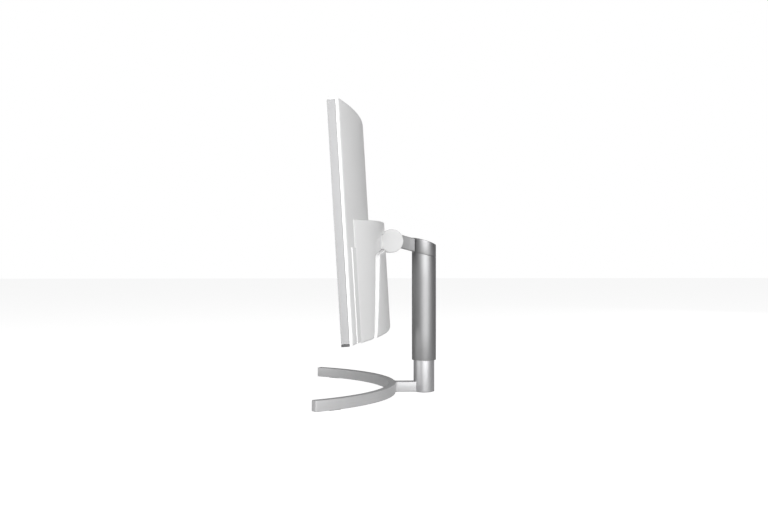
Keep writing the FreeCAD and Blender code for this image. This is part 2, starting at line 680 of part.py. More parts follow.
def boards():
    left, right = "-port_middle-port_bay_width/2+3", "-port_middle+port_bay_width/2+10"
    low, high = f"-{PORT_BAY_BOTTOM}-8", f"-{PORT_BAY_TOP}+sink_height+10"
    board = block((left, right), (f"{BOARD_Y}-board_thick", BOARD_Y), (low, high))
    node("main_board", board, True)
    corners = [(x, z) for x in (f"{left}+5", f"{right}-5") for z in (f"{low}+4", f"{high}-5")]
    node("board_spacers", spacers("spacer_diameter", f"{BOARD_Y}-board_thick", corners), True)
    heads = [rod("y", "spacer_diameter-1", (BOARD_Y, f"{BOARD_Y}+screw_head"), spot) for spot in corners]
    node("board_screws", group(*heads), True)
    sink_left, sink_low = "(-port_middle-sink_width/2)", f"(-{PORT_BAY_TOP}+3)"
    sink_z = (sink_low, f"{sink_low}+sink_height")
    sink = block((sink_left, f"{sink_left}+sink_width"), (BOARD_Y, f"{BOARD_Y}+sink_depth"), sink_z)
    pitch = amount("sink_width") / SINK_FINS
    slots = [block((f"{sink_left}+{pitch * (i + 0.45)}", f"{sink_left}+{pitch * (i + 1)}"),
                   (f"{BOARD_Y}+2", f"{BOARD_Y}+sink_depth+1"),
                   (f"{sink_low}-1", f"{sink_low}+sink_height+1"))
             for i in range(SINK_FINS - 1)]
    node("heat_sink", cut(sink, join(*slots)), True)
    timing_y = f"({SAG}+{CHASSIS_BACK}+timing_standoff)"
    left, right = "timing_middle-timing_width/2", "timing_middle+timing_width/2"
    low, high = "-timing_drop-timing_height/2", "-timing_drop+timing_height/2"
    node("timing_board", block((left, right), (timing_y, f"{timing_y}+board_thick"), (low, high)), True)
    feet = [(x, z) for x in (f"{left}+8", f"{right}-8") for z in (f"{low}+6", f"{high}-6")]
    node("timing_spacers", spacers("spacer_diameter-1", timing_y, feet), True)
    down = (f"-{HALF_HEIGHT}+bottom_trim_height+ribbon_gap", f"{low}+ribbon_gap")
    ribbons = [curved_slab(CHASSIS_BACK, f"{CHASSIS_BACK}+ribbon_thick", (x, f"{x}+ribbon_width"), down)
               for x in (f"{left}+16", f"{right}-16-ribbon_width")]
    node("panel_ribbons", group(*ribbons), True)


def socket(x, z, wide, high, tongue_level="0", tongue="0.7"):
    """A metal socket shell open to the rear with a contact tongue in it."""
    across, up = (f"{x}-{wide}/2", f"{x}+{wide}/2"), (f"{z}-{high}/2", f"{z}+{high}/2")
    shell = block(across, (BOARD_Y, SOCKET_MOUTH), up)
    room = block((f"{across[0]}+socket_wall", f"{across[1]}-socket_wall"),
                 (f"{BOARD_Y}+socket_floor", f"{SOCKET_MOUTH}+1"),
                 (f"{up[0]}+socket_wall", f"{up[1]}-socket_wall"))
    level = f"({z}+{tongue_level})"
    blade = block((f"{x}-{wide}*0.36", f"{x}+{wide}*0.36"), (f"{BOARD_Y}+1", f"{SOCKET_MOUTH}-1.5"),
                  (f"{level}-{tongue}/2", f"{level}+{tongue}/2"))
    return join(cut(shell, room), blade)


PORT_ROWS = (0.28, 0.72)
PORT_SHIFTS = (-34, -11, 12, 33)


def port_places():
    """Middle of each socket: x and z, in two rows of the bay."""
    upper, lower = (f"(-{PORT_BAY_TOP}-port_bay_height*{share})" for share in PORT_ROWS)
    across = [f"(-port_middle{shift:+d})" for shift in PORT_SHIFTS]
    return across, upper, lower


def round_socket(x, z, outer, bore, floor):
    """A round socket with a blind bore."""
    return cut(rod("y", outer, (BOARD_Y, SOCKET_MOUTH), (x, z)),
               rod("y", bore, (f"{BOARD_Y}+{floor}", f"{SOCKET_MOUTH}+1"), (x, z)))


def ports():
    across, upper, lower = port_places()
    hdmi = ("hdmi_width", "hdmi_height")
    displayport = ("displayport_width", "displayport_height")
    typec = ("typec_width", "typec_height")
    typea = ("typea_width", "typea_height")
    node("hdmi_sockets", group(*[socket(x, upper, *hdmi) for x in across[:2]]), True)
    node("displayport_socket", socket(across[2], upper, *displayport, "0.6"), True)
    node("usb_c_socket", socket(across[3], upper, *typec), True)
    node("usb_a_sockets", group(*[socket(x, lower, *typea, "1.2", "1.6") for x in across[:2]]), True)
    node("headphone_socket", round_socket(across[2], lower, "audio_diameter", "audio_bore", "1"), True)
    inlet = round_socket(across[3], lower, "inlet_diameter", "inlet_bore", "socket_floor")
    pin = rod("y", "inlet_pin", (f"{BOARD_Y}+1.5", f"{SOCKET_MOUTH}-1"), (across[3], lower))
    node("dc_inlet", join(inlet, pin), True)
    mouths = [(across[0], upper, *hdmi), (across[1], upper, *hdmi), (across[2], upper, *displayport),
              (across[3], upper, *typec), (across[0], lower, *typea), (across[1], lower, *typea),
              (across[2], lower, "audio_diameter", "audio_diameter"),
              (across[3], lower, "inlet_diameter", "inlet_diameter")]
    port_plate(mouths)


def port_plate(mouths):
    """The plate at the bottom of the bay, with walls up to the cover and a hole round each socket."""
    front = f"({SOCKET_MOUTH}-port_plate_wall)"
    half, lap = "port_bay_width/2", "port_plate_lap"
    edge_x = (f"-port_middle-{half}+{lap}", f"-port_middle+{half}-{lap}")
    edge_z = (f"-{PORT_BAY_BOTTOM}+{lap}", f"-{PORT_BAY_TOP}-{lap}")
    plate = block(edge_x, (front, SOCKET_MOUTH), edge_z)
    walls = overlap(block(edge_x, (front, FAR), edge_z), belly("0.6", (f"{LOW}-1", "housing_top")))
    room = block((f"{edge_x[0]}+port_skirt_wall", f"{edge_x[1]}-port_skirt_wall"), (SOCKET_MOUTH, FAR),
                 (f"{edge_z[0]}+port_skirt_wall", f"{edge_z[1]}-port_skirt_wall"))
    holes = [block((f"{x}-{wide}/2-socket_slack", f"{x}+{wide}/2+socket_slack"),
                   (f"{front}-1", f"{SOCKET_MOUTH}+1"),
                   (f"{z}-{high}/2-socket_slack", f"{z}+{high}/2+socket_slack"))
             for x, z, wide, high in mouths]
    node("port_plate", cut(cut(join(plate, walls), room), join(*holes)), True)


# ================================================================ display: stand plate and hinge
EAR_INNER = f"(knuckle_width/2+{WASHERS_A_SIDE}*washer_thick+0.6)"


def stand_plate():
    back = f"{PLATE_Y}+plate_wall"
    plate = block(sides("plate_width/2"), (PLATE_Y, back), (f"-{PLATE_BOTTOM}", "-plate_top"))
    ears = []
    for side in (-1, 1):
        x = sorted_pair(side, EAR_INNER, f"{EAR_INNER}+ear_wall")
        flat = block(x, (PLATE_Y, HINGE_Y), ("-hinge_drop-ear_width/2", "-hinge_drop+ear_width/2"))
        ears += [flat, rod("x", "ear_width", x, HINGE_AT)]
    bore = rod("x", "shaft_diameter", sides("hinge_width"), HINGE_AT)
    node("stand_plate", cut(join(plate, *ears), bore), True)
    spots = [(f"{side}(plate_width/2-8)", z) for side in ("-", "")
             for z in ("-plate_top-8", f"-{PLATE_BOTTOM}+30")]
    node("plate_spacers", spacers("spacer_diameter+5", PLATE_Y, spots), True)
    screws = [rod("y", "spacer_diameter+2", (back, f"{back}+3"), spot) for spot in spots]
    node("plate_screws", group(*screws), True)
    top = f"({HOUSING_BACK}-channel_depth-2)"
    inserts = [tube("y", "insert_diameter", "vesa_bore", (back, top), spot) for spot in vesa_spots()]
    node("vesa_inserts", group(*inserts), True)


def sorted_pair(side, near, far):
    return (near, far) if side > 0 else (f"-({far})", f"-({near})")


def hinge():
    end = f"({EAR_INNER}+ear_wall+5)"
    node("hinge_shaft", rod("x", "shaft_diameter", sides(end), HINGE_AT), True)
    washers = []
    for side in (-1, 1):
        for i in range(WASHERS_A_SIDE):
            near = f"knuckle_width/2+0.2+{i}*(washer_thick+0.1)"
            washers.append(tube("x", "shaft_diameter+10", "shaft_diameter+2*running_fit",
                                sorted_pair(side, near, f"{near}+washer_thick"), HINGE_AT))
    node("friction_washers", group(*washers), True)
    nuts = [tube("x", "shaft_diameter+8", "shaft_diameter",
                 sorted_pair(side, f"{EAR_INNER}+ear_wall", f"{end}-1"), HINGE_AT) for side in (-1, 1)]
    node("hinge_nuts", group(*nuts), True)
    hinge_cover()
    outer = "hinge_width/2-cap_thick"
    for label, side in (("hinge_cap_left", -1), ("hinge_cap_right", 1)):
        disc = rod("x", "cap_diameter", sorted_pair(side, outer, "hinge_width/2"), HINGE_AT)
        face = amount("hinge_width/2") - 0.01
        disc = soften(disc, "cap_round", lambda edge, side=side: side * edge.BoundBox.Center.x > face)
        node(label, cut(disc, belly("channel_depth", BELLY_SPAN)), True)


def hinge_cover():
    """A moulded neck with a cheek each side of the arm, hollow round the ears."""
    floor = f"({HOUSING_BACK}-channel_depth)"
    outer = "hinge_width/2-cap_thick"
    wide = f"{outer}+hinge_neck_flare"
    neck_z = ("-hinge_drop-hinge_neck_height/2", "-hinge_drop+hinge_neck_height/2")
    cheeks = rod("x", "cap_diameter", sides(outer), HINGE_AT)
    root = prism("XY", [(f"-({wide})", f"{floor}-3"), (wide, f"{floor}-3"), (outer, f"{floor}+5"),
                        (outer, HINGE_Y), (f"-({outer})", HINGE_Y), (f"-({outer})", f"{floor}+5")], neck_z)
    cover = cut(join(cheeks, root), belly("channel_depth-lap_gap", BELLY_SPAN))
    knuckle = sides("knuckle_width/2+1")
    low, high = f"-hinge_drop-cap_diameter/2-{PAST}", f"-hinge_drop+cap_diameter/2+{PAST}"
    gap = join(rod("x", "knuckle_diameter+2*knuckle_room", knuckle, HINGE_AT),
               block(knuckle, (HINGE_Y, FAR), (low, high)),
               block(knuckle, (f"{HINGE_Y}-knuckle_diameter/2-knuckle_room", FAR), ("-hinge_drop-2", high)))
    hollow = join(rod("x", "ear_width+2*ear_room", sides(outer + "+1"), HINGE_AT),
                  block(sides(outer + "-hinge_cover_wall"), ("0", HINGE_Y),
                        ("-hinge_drop-ear_width/2-ear_room", "-hinge_drop+ear_width/2+ear_room")))
    cap_room = [rod("x", "cap_diameter+2*lap_gap", sorted_pair(side, outer, "hinge_width"), HINGE_AT)
                for side in (-1, 1)]
    node("hinge_cover", cut(cut(cover, gap), join(hollow, *cap_room)), True)


# ================================================================ display: control stick
def control_stick():
    pivot = f"-{STICK_PIVOT}"
    at = ("0", STICK_Y)
    ring_half = "ring_diameter/2"
    bore = "ring_diameter-2*ring_wall"
    half = f"{ring_half}+stick_wall"
    deep = (f"{STICK_Y}-({half})", f"{STICK_Y}+({half})")
    top = f"{pivot}+stick_housing_top"
    box = block(sides(half), deep, (LOW, top))
    well = rod("z", "ring_diameter+2*well_gap", (f"{LOW}-1", f"{pivot}+well_depth"), at)
    pin_reach = f"{ring_half}+2"
    pin_room = rod("x", "trunnion_diameter+2*running_fit", sides(f"{pin_reach}+0.2"), (STICK_Y, pivot))
    housing = overlap(box, slanted_floor("housing_wall"))
    node("stick_housing", cut(cut(housing, well), pin_room), True)
    node("stick_board", block(sides(f"{half}+4"), deep, (top, f"{top}+stick_board_thick")), True)
    ring_span = (f"{pivot}-ring_height/2", f"{pivot}+ring_height/2")
    past_ring = (f"{pivot}-ring_height", f"{pivot}+ring_height")
    pins = rod("x", "trunnion_diameter", sides(pin_reach), (STICK_Y, pivot))
    core_pin_room = rod("y", "trunnion_diameter+2*running_fit",
                        (f"{STICK_Y}-{ring_half}-1", f"{STICK_Y}+{ring_half}+1"), ("0", pivot))
    ring = cut(join(rod("z", "ring_diameter", ring_span, at), pins), rod("z", bore, past_ring, at))
    node("stick_cradle", cut(ring, core_pin_room), True)
    core = join(rod("z", f"{bore}-2*ring_gap", (f"{pivot}-core_height/2", f"{pivot}+core_height/2"), at),
                rod("y", "trunnion_diameter",
                    (f"{STICK_Y}-{ring_half}+0.2", f"{STICK_Y}+{ring_half}-0.2"), ("0", pivot)))
    stem_room = rod("z", "stick_diameter+2*running_fit", past_ring, at)
    node("stick_core", cut(core, stem_room), True)
    knob_top = f"-{KNOB_TOP}"
    stem_top = f"{pivot}+ring_height"
    stem = join(rod("z", "stick_diameter", (f"{knob_top}-1", stem_top), at),
                rod("z", "stick_diameter+2*collar", (stem_top, f"{stem_top}+collar"), at))
    node("stick_stem", stem, True)
    knob = soften(rod("z", "knob_diameter", (f"{knob_top}-knob_height", knob_top), at), "knob_round",
                  lambda edge: edge.BoundBox.ZLength < 0.01)
    socket_room = rod("z", "stick_diameter", (f"{knob_top}-1", f"{knob_top}+1"), at)
    node("stick_knob", cut(knob, socket_room), True)


# ================================================================ column
SLOPE = "(tan(seam_slope*1deg))"
SLEEVE_BORE = "(sleeve_diameter-2*sleeve_wall)"
POST_BORE = "(post_diameter-2*post_wall)"
FIT = "2*running_fit"
SPIGOT_TOP = "(seam_height-spigot_inset)"


def sleeve():
    tube_body = body("sleeve_tube")
    reach = "sleeve_diameter"
    top = f"seam_height+{reach}"
    disc = sketch_on(tube_body, "XY_Plane", circles=[("sleeve_diameter", "0", "0")])
    pad(tube_body, disc, "sleeve_bottom", top)
    bore = sketch_on(tube_body, "XY_Plane", circles=[(SLEEVE_BORE, "0", "0")])
    pocket(tube_body, bore, "sleeve_bottom-1", f"{top}+1")
    above = [(f"-{reach}", f"seam_height+{reach}*{SLOPE}"), (reach, f"seam_height-{reach}*{SLOPE}"),
             (reach, f"seam_height+2*{reach}"), (f"-{reach}", f"seam_height+2*{reach}")]
    pocket(tube_body, sketch_on(tube_body, "YZ_Plane", above), f"-{reach}", reach)
    node("sleeve", tube_body)


def column_head():
    head = body("head_casting")
    reach = "sleeve_diameter"
    disc = sketch_on(head, "XY_Plane", circles=[("sleeve_diameter", "0", "0")])
    pad(head, disc, f"seam_height-{reach}", "head_front+5")
    seam = "seam_height+seam_gap"
    below = [(f"-{reach}", f"{seam}+{reach}*{SLOPE}"), (f"-{reach}", "0"), (reach, "0"),
             (reach, f"{seam}-{reach}*{SLOPE}")]
    pocket(head, sketch_on(head, "YZ_Plane", below), f"-{reach}", reach)
    room = overlap(rod("z", f"{reach}+10", (f"head_back-2*{PAST}", f"head_front+{PAST}")),
                   rod("x", "2*head_radius", sides(reach), head_crown()))
    foot = f"{SPIGOT_TOP}-spigot_length"
    spigot = rod("z", f"{SLEEVE_BORE}-{FIT}", (foot, "seam_height+4"))
    hollow = rod("z", f"{SLEEVE_BORE}-2*spigot_wall", (f"{foot}-1", f"{SPIGOT_TOP}-spigot_floor"))
    screw_room = rod("y", "arm_screw_head+0.1", (f"-{reach}", "0"), ("0", ARM_SCREW_Z))
    node("column_head", cut(cut(join(overlap(head, room), spigot), hollow), screw_room))


def head_crown():
    """Centre of the arc that tops the head: it passes through the head's front and back heights."""
    fall = "(head_front-head_back)"
    chord = f"sqrt(sleeve_diameter^2+{fall}^2)"
    drop = f"sqrt(head_radius^2-({chord}/2)^2)"
    return (f"-{drop}*{fall}/{chord}", f"(head_front+head_back)/2-{drop}*sleeve_diameter/{chord}")


def arm_mid(y):
    """Height of the arm's middle line at a distance from the column's axis."""
    return f"(hinge_height+arm_lift/cos(arm_slope*1deg)-(({y})+arm_reach)*tan(arm_slope*1deg))"


ARM_SCREW_Z = arm_mid("-arm_screw_depth")


def arm():
    arm_body = body("arm_bar")
    rise = "(arm_height/2/cos(arm_slope*1deg))"
    front, root = arm_mid("-arm_reach"), arm_mid("0")
    profile = [("-arm_reach", f"{front}-{rise}"), ("0", f"{root}-{rise}"),
               ("0", f"{root}+{rise}"), ("-arm_reach", f"{front}+{rise}")]
    pad(arm_body, sketch_on(arm_body, "YZ_Plane", profile), "-knuckle_width/2", "knuckle_width/2")
    wide = sides("knuckle_width")
    tall = ("hinge_height-arm_reach", "hinge_height+arm_reach")
    for side in ("", "-"):
        outline = [(f"{side}knuckle_width/2", "-arm_reach+knuckle_diameter/2"),
                   (f"{side}arm_width/2", "-sleeve_diameter/2-4"), (f"{side}arm_width/2", "5"),
                   (f"{side}knuckle_width", "5"), (f"{side}knuckle_width", "-arm_reach+knuckle_diameter/2")]
        if side == "-":
            outline.reverse()
        pocket(arm_body, sketch_on(arm_body, "XY_Plane", outline), *tall)
    axis = ("-arm_reach", "hinge_height")
    knuckle = rod("x", "knuckle_diameter", sides("knuckle_width/2"), axis)
    ahead = block(wide, ("-2*arm_reach", "-arm_reach"), tall)
    column = rod("z", f"sleeve_diameter+{FIT}", tall)
    above = block(wide, ("-arm_reach-1", "-arm_reach+knuckle_flat"),
                  ("hinge_height+knuckle_diameter/2+0.5", tall[1]))
    solid = join(cut(cut(arm_body, join(ahead, column)), above), knuckle)
    bore = rod("x", f"shaft_diameter+{FIT}", wide, axis)
    at = ("0", ARM_SCREW_Z)
    screw_room = rod("y", "arm_screw_bore", (f"-sleeve_diameter/2-{PAST}", "0"), at)
    node("arm", cut(cut(solid, bore), screw_room))
    screw = join(rod("y", "arm_screw_bore", ("-sleeve_diameter/2-arm_screw_reach", "-arm_screw_depth"), at),
                 rod("y", "arm_screw_head", ("-arm_screw_depth", "4-arm_screw_depth"), at))
    node("arm_screw", screw)


def lift():
    low = "sleeve_bottom+bush_inset"
    bush = tube("z", SLEEVE_BORE, f"post_diameter+{FIT}", (low, f"{low}+bush_height"))
    edge_level = amount(low) + 0.1
    node("sleeve_bush", soften(bush, "bush_edge", lambda edge: edge.BoundBox.ZMax < edge_level))
    room = "(cylinder_diameter-2*cylinder_wall)"
    piston = rod("z", f"{room}-{FIT}", ("piston_level", "piston_level+piston_height"))
    shaft = rod("z", "rod_diameter", ("piston_level", f"{SPIGOT_TOP}-spigot_floor"))
    node("lift_rod", join(shaft, piston))
    floor = "(foot_gap+cylinder_seat)"
    cylinder = rod("z", "cylinder_diameter", (floor, "cylinder_top"))
    hollow = rod("z", room, (f"{floor}+cylinder_end", "cylinder_top-cylinder_end"))
    gland = rod("z", f"rod_diameter+{FIT}", ("cylinder_top-cylinder_end-1", "cylinder_top+1"))
    node("lift_cylinder", cut(cut(cylinder, hollow), gland))
    cap = rod("z", f"{SLEEVE_BORE}-{FIT}", ("post_top-bush_height", "post_top+bush_lip"))
    inside = rod("z", f"post_diameter+{FIT}", ("post_top-bush_height-1", "post_top"))
    rod_room = rod("z", "rod_diameter+4", ("post_top-1", "post_top+bush_lip+1"))
    node("post_bush", cut(cut(cap, inside), rod_room))


def post():
    tube_body = body("post_tube")
    disc = sketch_on(tube_body, "XY_Plane", circles=[("post_diameter", "0", "0")])
    first = pad(tube_body, disc, "foot_gap", "post_top")
    end = amount("foot_gap") + 0.01
    round_edges(tube_body, first, "post_round", lambda edge: edge.BoundBox.ZMax < end)
    bore = sketch_on(tube_body, "XY_Plane", circles=[(POST_BORE, "0", "0")])
    pocket(tube_body, bore, "foot_gap-1", "post_top+1")
    half = "neck_width/2+lap_gap"
    notch = [(f"-({half})", "-post_diameter"), (half, "-post_diameter"), (half, "0"), (f"-({half})", "0")]
    pocket(tube_body, sketch_on(tube_body, "XY_Plane", notch), "foot_gap-1", "foot_gap+arc_height+lap_gap")
    node("post", tube_body)


# ================================================================ base
def crescent():
    foot = body("bent_bar")
    inner = "(arc_radius-arc_thick)"
    middle_y = "(-arc_reach-arc_radius)"
    sine, cosine = "sin(arc_angle*1deg)", "cos(arc_angle*1deg)"
    outline = [(f"arc_radius*{sine}", f"{middle_y}+arc_radius*{cosine}", "arc_radius"),
               (f"-arc_radius*{sine}", f"{middle_y}+arc_radius*{cosine}"),
               (f"-{inner}*{sine}", f"{middle_y}+{inner}*{cosine}", "-1"),
               (f"{inner}*{sine}", f"{middle_y}+{inner}*{cosine}")]
    first = pad(foot, ring_sketch(foot, outline), "foot_gap", "foot_gap+arc_height")
    round_edges(foot, first, "arc_edge", lambda edge: edge.BoundBox.ZLength < 0.01)
    node("base_arc", foot)


def ring_sketch(owner, outline):
    """Outer arc, end, inner arc, end; both arcs share the crescent's centre and are bound to its sizes."""
    sketch = sketch_on(owner, "XY_Plane")
    spots = [Vector(amount(point[0]), amount(point[1]), 0) for point in outline]
    centre_y = amount("-arc_reach-arc_radius")
    for a, b, radius in ((0, 1, amount("arc_radius")), (3, 2, amount("arc_radius-arc_thick"))):
        sketch.addGeometry(Part.Arc(spots[a], Vector(0, centre_y + radius, 0), spots[b]), False)
    sketch.addGeometry(Part.LineSegment(spots[1], spots[2]), False)
    sketch.addGeometry(Part.LineSegment(spots[3], spots[0]), False)
    ends = []
    for arc_index, a, b in ((0, 0, 1), (1, 3, 2)):
        for corner in (a, b):
            gaps = [sketch.getPoint(arc_index, end).distanceToPoint(spots[corner]) for end in (1, 2)]
            ends.append((corner, arc_index, 1 if gaps[0] < gaps[1] else 2))
    lines = {1: (2, 1), 2: (2, 2), 3: (3, 1), 0: (3, 2)}
    for corner, arc_index, near in ends:
        line, end = lines[corner]
        sketch.addConstraint(Sketcher.Constraint("Coincident", line, end, arc_index, near))
        for kind, text, number in (("DistanceX", outline[corner][0], spots[corner].x),
                                   ("DistanceY", outline[corner][1], spots[corner].y)):
            index = sketch.addConstraint(Sketcher.Constraint(kind, -1, 1, line, end, number))
            sketch.setExpression("Constraints[%d]" % index, formula(text))
    for arc_index, text in ((0, "arc_radius"), (1, "arc_radius-arc_thick")):
        index = sketch.addConstraint(Sketcher.Constraint("Radius", arc_index, amount(text)))
        sketch.setExpression("Constraints[%d]" % index, formula(text))
    return sketch


def base_neck():
    low, high = "foot_gap", "foot_gap+arc_height"
    half = "neck_width/2"
    flare = f"{half}+neck_fillet"
    back = "-arc_reach+1"
    bar = prism("XY", [(f"-({flare})", f"{back}-8"), (flare, f"{back}-8"), (flare, back),
                       (half, f"{back}+neck_fillet"), (half, "0"), (f"-{half}", "0"),
                       (f"-{half}", f"{back}+neck_fillet"), (f"-({flare})", back)], (low, high))
    outside = rod("z", "2*arc_radius", (f"{low}-1", f"{high}+1"), ("0", "-arc_reach-arc_radius"))
    rounds = [rod("z", "2*neck_fillet", (f"{low}-1", f"{high}+1"),
                  (f"{side}({flare})", f"{back}+neck_fillet")) for side in ("", "-")]
    plug_top = f"{low}+neck_plug"
    inside = f"{POST_BORE}-{FIT}"
    plug = rod("z", inside, (low, plug_top))
    hole = join(rod("z", "base_screw_bore", ("-1", f"{plug_top}+{PAST}")),
                rod("z", "base_screw_head+1", ("-1", f"{low}+base_screw_sink")))
    past_post = cut(rod("z", inside, ("-1", f"{high}+{PAST}")), rod("z", "post_diameter+1", ("-2", plug_top)))
    node("base_neck", cut(join(cut(cut(bar, join(outside, *rounds)), past_post), plug), hole))
    head = (f"{low}+1", f"{low}+base_screw_sink")
    screw = join(rod("z", "base_screw_head", head),
                 rod("z", f"base_screw_bore-{FIT}", (f"{low}+1", "foot_gap+cylinder_seat")))
    drive = rod("z", "base_screw_socket", ("0", f"{low}+3"))
    node("base_screw", cut(screw, drive))


def rubber_pads():
    pads = []
    inner, outer = "(arc_radius-arc_thick+pad_margin)", "(arc_radius-pad_margin)"
    for angle in ("(pad_inset-arc_angle)", "(-pad_spread)", "pad_spread", "(arc_angle-pad_inset)"):
        ring = tube("z", f"2*{outer}", f"2*{inner}", ("0", "foot_gap"), ("0", "-arc_reach-arc_radius"))
        spot_x = f"(arc_radius-arc_thick/2)*sin({angle}*1deg)"
        spot_y = f"(-arc_reach-arc_radius+(arc_radius-arc_thick/2)*cos({angle}*1deg))"
        pads.append(overlap(ring, rod("z", "pad_length", ("-1", "foot_gap+1"), (spot_x, spot_y))))
    pads.append(rod("z", f"{POST_BORE}-2", ("0", "foot_gap")))
    node("rubber_pads", group(*pads))


# ================================================================ build
display_trims()
back_cover()
housing_solid = rear_housing()
lower_rear_cover(housing_solid)
inner_stack()
boards()
ports()
stand_plate()
hinge()
control_stick()
sleeve()
column_head()
arm()
lift()
post()
crescent()
base_neck()
rubber_pads()
doc.recompute()

for thing in doc.Objects:
    if "Invalid" in thing.State or "Error" in thing.State:
        raise RuntimeError("%s (%s) failed: %s" % (thing.Name, thing.Label, thing.State))
for thing in nodes:
    if thing.Shape.isNull() or not thing.Shape.isValid() or not thing.Shape.Solids:
        raise RuntimeError(thing.Label + " has no valid solid")
os.makedirs("parts", exist_ok=True)
for thing in nodes:
    thing.Shape.exportStep(os.path.join("parts", thing.Label + ".step"))
print(len(nodes), "nodes")
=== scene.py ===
"""Looks of a wide curved monitor on a crescent stand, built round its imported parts.

Every size is in metres. The display is drawn in a frame of its own: x across, depth back from the front of
the panel's ends, rise up from mid height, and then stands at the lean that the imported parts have.
"""

import json
import math

import bmesh
import bpy
from bpy.props import FloatProperty, FloatVectorProperty, PointerProperty
from mathutils import Matrix, Vector
from mathutils.geometry import delaunay_2d_cdt


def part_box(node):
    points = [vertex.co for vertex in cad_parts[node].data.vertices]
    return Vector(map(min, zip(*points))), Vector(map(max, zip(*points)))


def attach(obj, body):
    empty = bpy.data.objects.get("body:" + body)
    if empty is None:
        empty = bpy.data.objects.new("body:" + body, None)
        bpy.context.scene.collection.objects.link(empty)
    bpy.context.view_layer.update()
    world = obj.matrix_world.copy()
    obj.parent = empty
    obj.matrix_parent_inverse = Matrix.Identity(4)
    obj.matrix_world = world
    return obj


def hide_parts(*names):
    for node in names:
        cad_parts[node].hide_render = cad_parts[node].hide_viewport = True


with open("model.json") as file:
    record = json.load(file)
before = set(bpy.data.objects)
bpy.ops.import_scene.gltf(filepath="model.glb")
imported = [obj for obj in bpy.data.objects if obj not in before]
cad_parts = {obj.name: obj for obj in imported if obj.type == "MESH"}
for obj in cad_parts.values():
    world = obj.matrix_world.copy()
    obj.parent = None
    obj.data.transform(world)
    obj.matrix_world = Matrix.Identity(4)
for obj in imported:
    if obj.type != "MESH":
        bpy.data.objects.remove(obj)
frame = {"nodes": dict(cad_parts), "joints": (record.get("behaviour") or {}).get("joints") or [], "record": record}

bl_info = {
    "name": "Curved Monitor",
    "version": (1, 0, 0),
    "blender": (4, 5, 0),
    "location": "3D View > Sidebar > Monitor",
    "description": "Builds the visible pieces, finishes and studio of a curved desktop monitor",
    "category": "Object",
}

JOINTS = {joint["name"]: joint for joint in frame["joints"]}
MOUNTS = {mount["name"]: mount for mount in frame["record"]["mounts"]}
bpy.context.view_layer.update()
MILLI = 0.001
HINGE = Vector(JOINTS["tilt_hinge"]["pos_m"])
STICK = Vector(JOINTS["stick_press"].get("pos_m", JOINTS["stick_side"]["pos_m"]))
ACROSS = Vector((1, 0, 0))
BACKWARD = Vector(MOUNTS["wall_mount"]["axis"]).normalized()
UPWARD = ACROSS.cross(BACKWARD)

# Hinge axis behind the housing's back and below the display's mid height
HINGE_BEHIND_HOUSING = 0.0107
HINGE_DROP = 0.0287
# Half height of the hinge's neck, and how far it sinks into the channel's floor
NECK_REACH = 0.0136
NECK_SINK = 0.003
# Four holes on a square whose middle lies below the display's mid height
WALL_MOUNT = {"pitch": 0.1, "drop": 0.112, "hole": 0.012}
# Radius of the bulge given to slanted lines
SLANT_RADIUS = 16.0
# Steps of a rounded end, in shares of its radius: how far along, and how much narrower
ROUNDED_END = ((0, 1), (0.3, 0.3), (1, 0))
# Radius at which a turned profile ends beside its axis
TIP = MILLI / 10
# Softboxes: name, place, target, width and height, power
LIGHTS = (
    ("key_softbox", (2.8, 0.55, 1.05), (0, 0, 0.4), (3.2, 2.2), 92),
    ("side_softbox", (1.6, 2.1, 0.6), (0, 0, 0.2), (1.0, 1.4), 4),
    ("front_softbox", (1.2, -2.3, 0.5), (0, 0, 0.15), (2.0, 1.2), 20),
    ("back_softbox", (-2.2, 1.8, 1.0), (0, 0, 0.2), (1.6, 1.6), 2),
    ("top_softbox", (-0.2, 0.2, 2.6), (0, 0, 0), (1.8, 1.8), 5),
)
CAMERA_PLACE = (1.96884, -0.15734, 0.25529)
CAMERA_TURN = math.radians(2.427)


def extent(node):
    """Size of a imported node's box."""
    low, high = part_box(node)
    return high - low


def length(name, default, description):
    """A size in metres."""
    return FloatProperty(name=name, default=default, description=description, unit="LENGTH", precision=5)


def colour(name, default, description):
    """A colour of a finish, in linear light."""
    return FloatVectorProperty(name=name, default=default, description=description, subtype="COLOR",
                               size=3, min=0, max=1)


# ---------------------------------------------------------------- sizes and colours
class DisplaySizes(bpy.types.PropertyGroup):
    """Sizes of the screen, its trims and the back cover."""
    width: length("Width", extent("back_cover").x, "Display, side to side")
    height: length("Height", 0.365, "Display, top to bottom")
    screen_radius: length("Screen radius", 1.9, "Curve of the front of the screen")
    trim_depth: length("Trim depth", 0.0117, "Front to back of the silver trims")
    trim_wall: length("Trim wall", 0.0024, "Thickness of a side trim")
    top_trim: length("Top trim", 0.0034, "Height of the top trim")
    bottom_trim: length("Bottom bezel", 0.0038, "Height of the bottom bezel's bar")
    chin: length("Chin", 0.014, "Front lip of the bottom bezel")
    shadow_gap: length("Shadow gap", 0.0005, "Gap behind the trims")
    cover_depth: length("Cover depth", 0.0164, "Front of the screen to the back of the back cover")
    cover_round: length("Cover rounding", 0.0036, "Rounding of the back cover's rear edges")


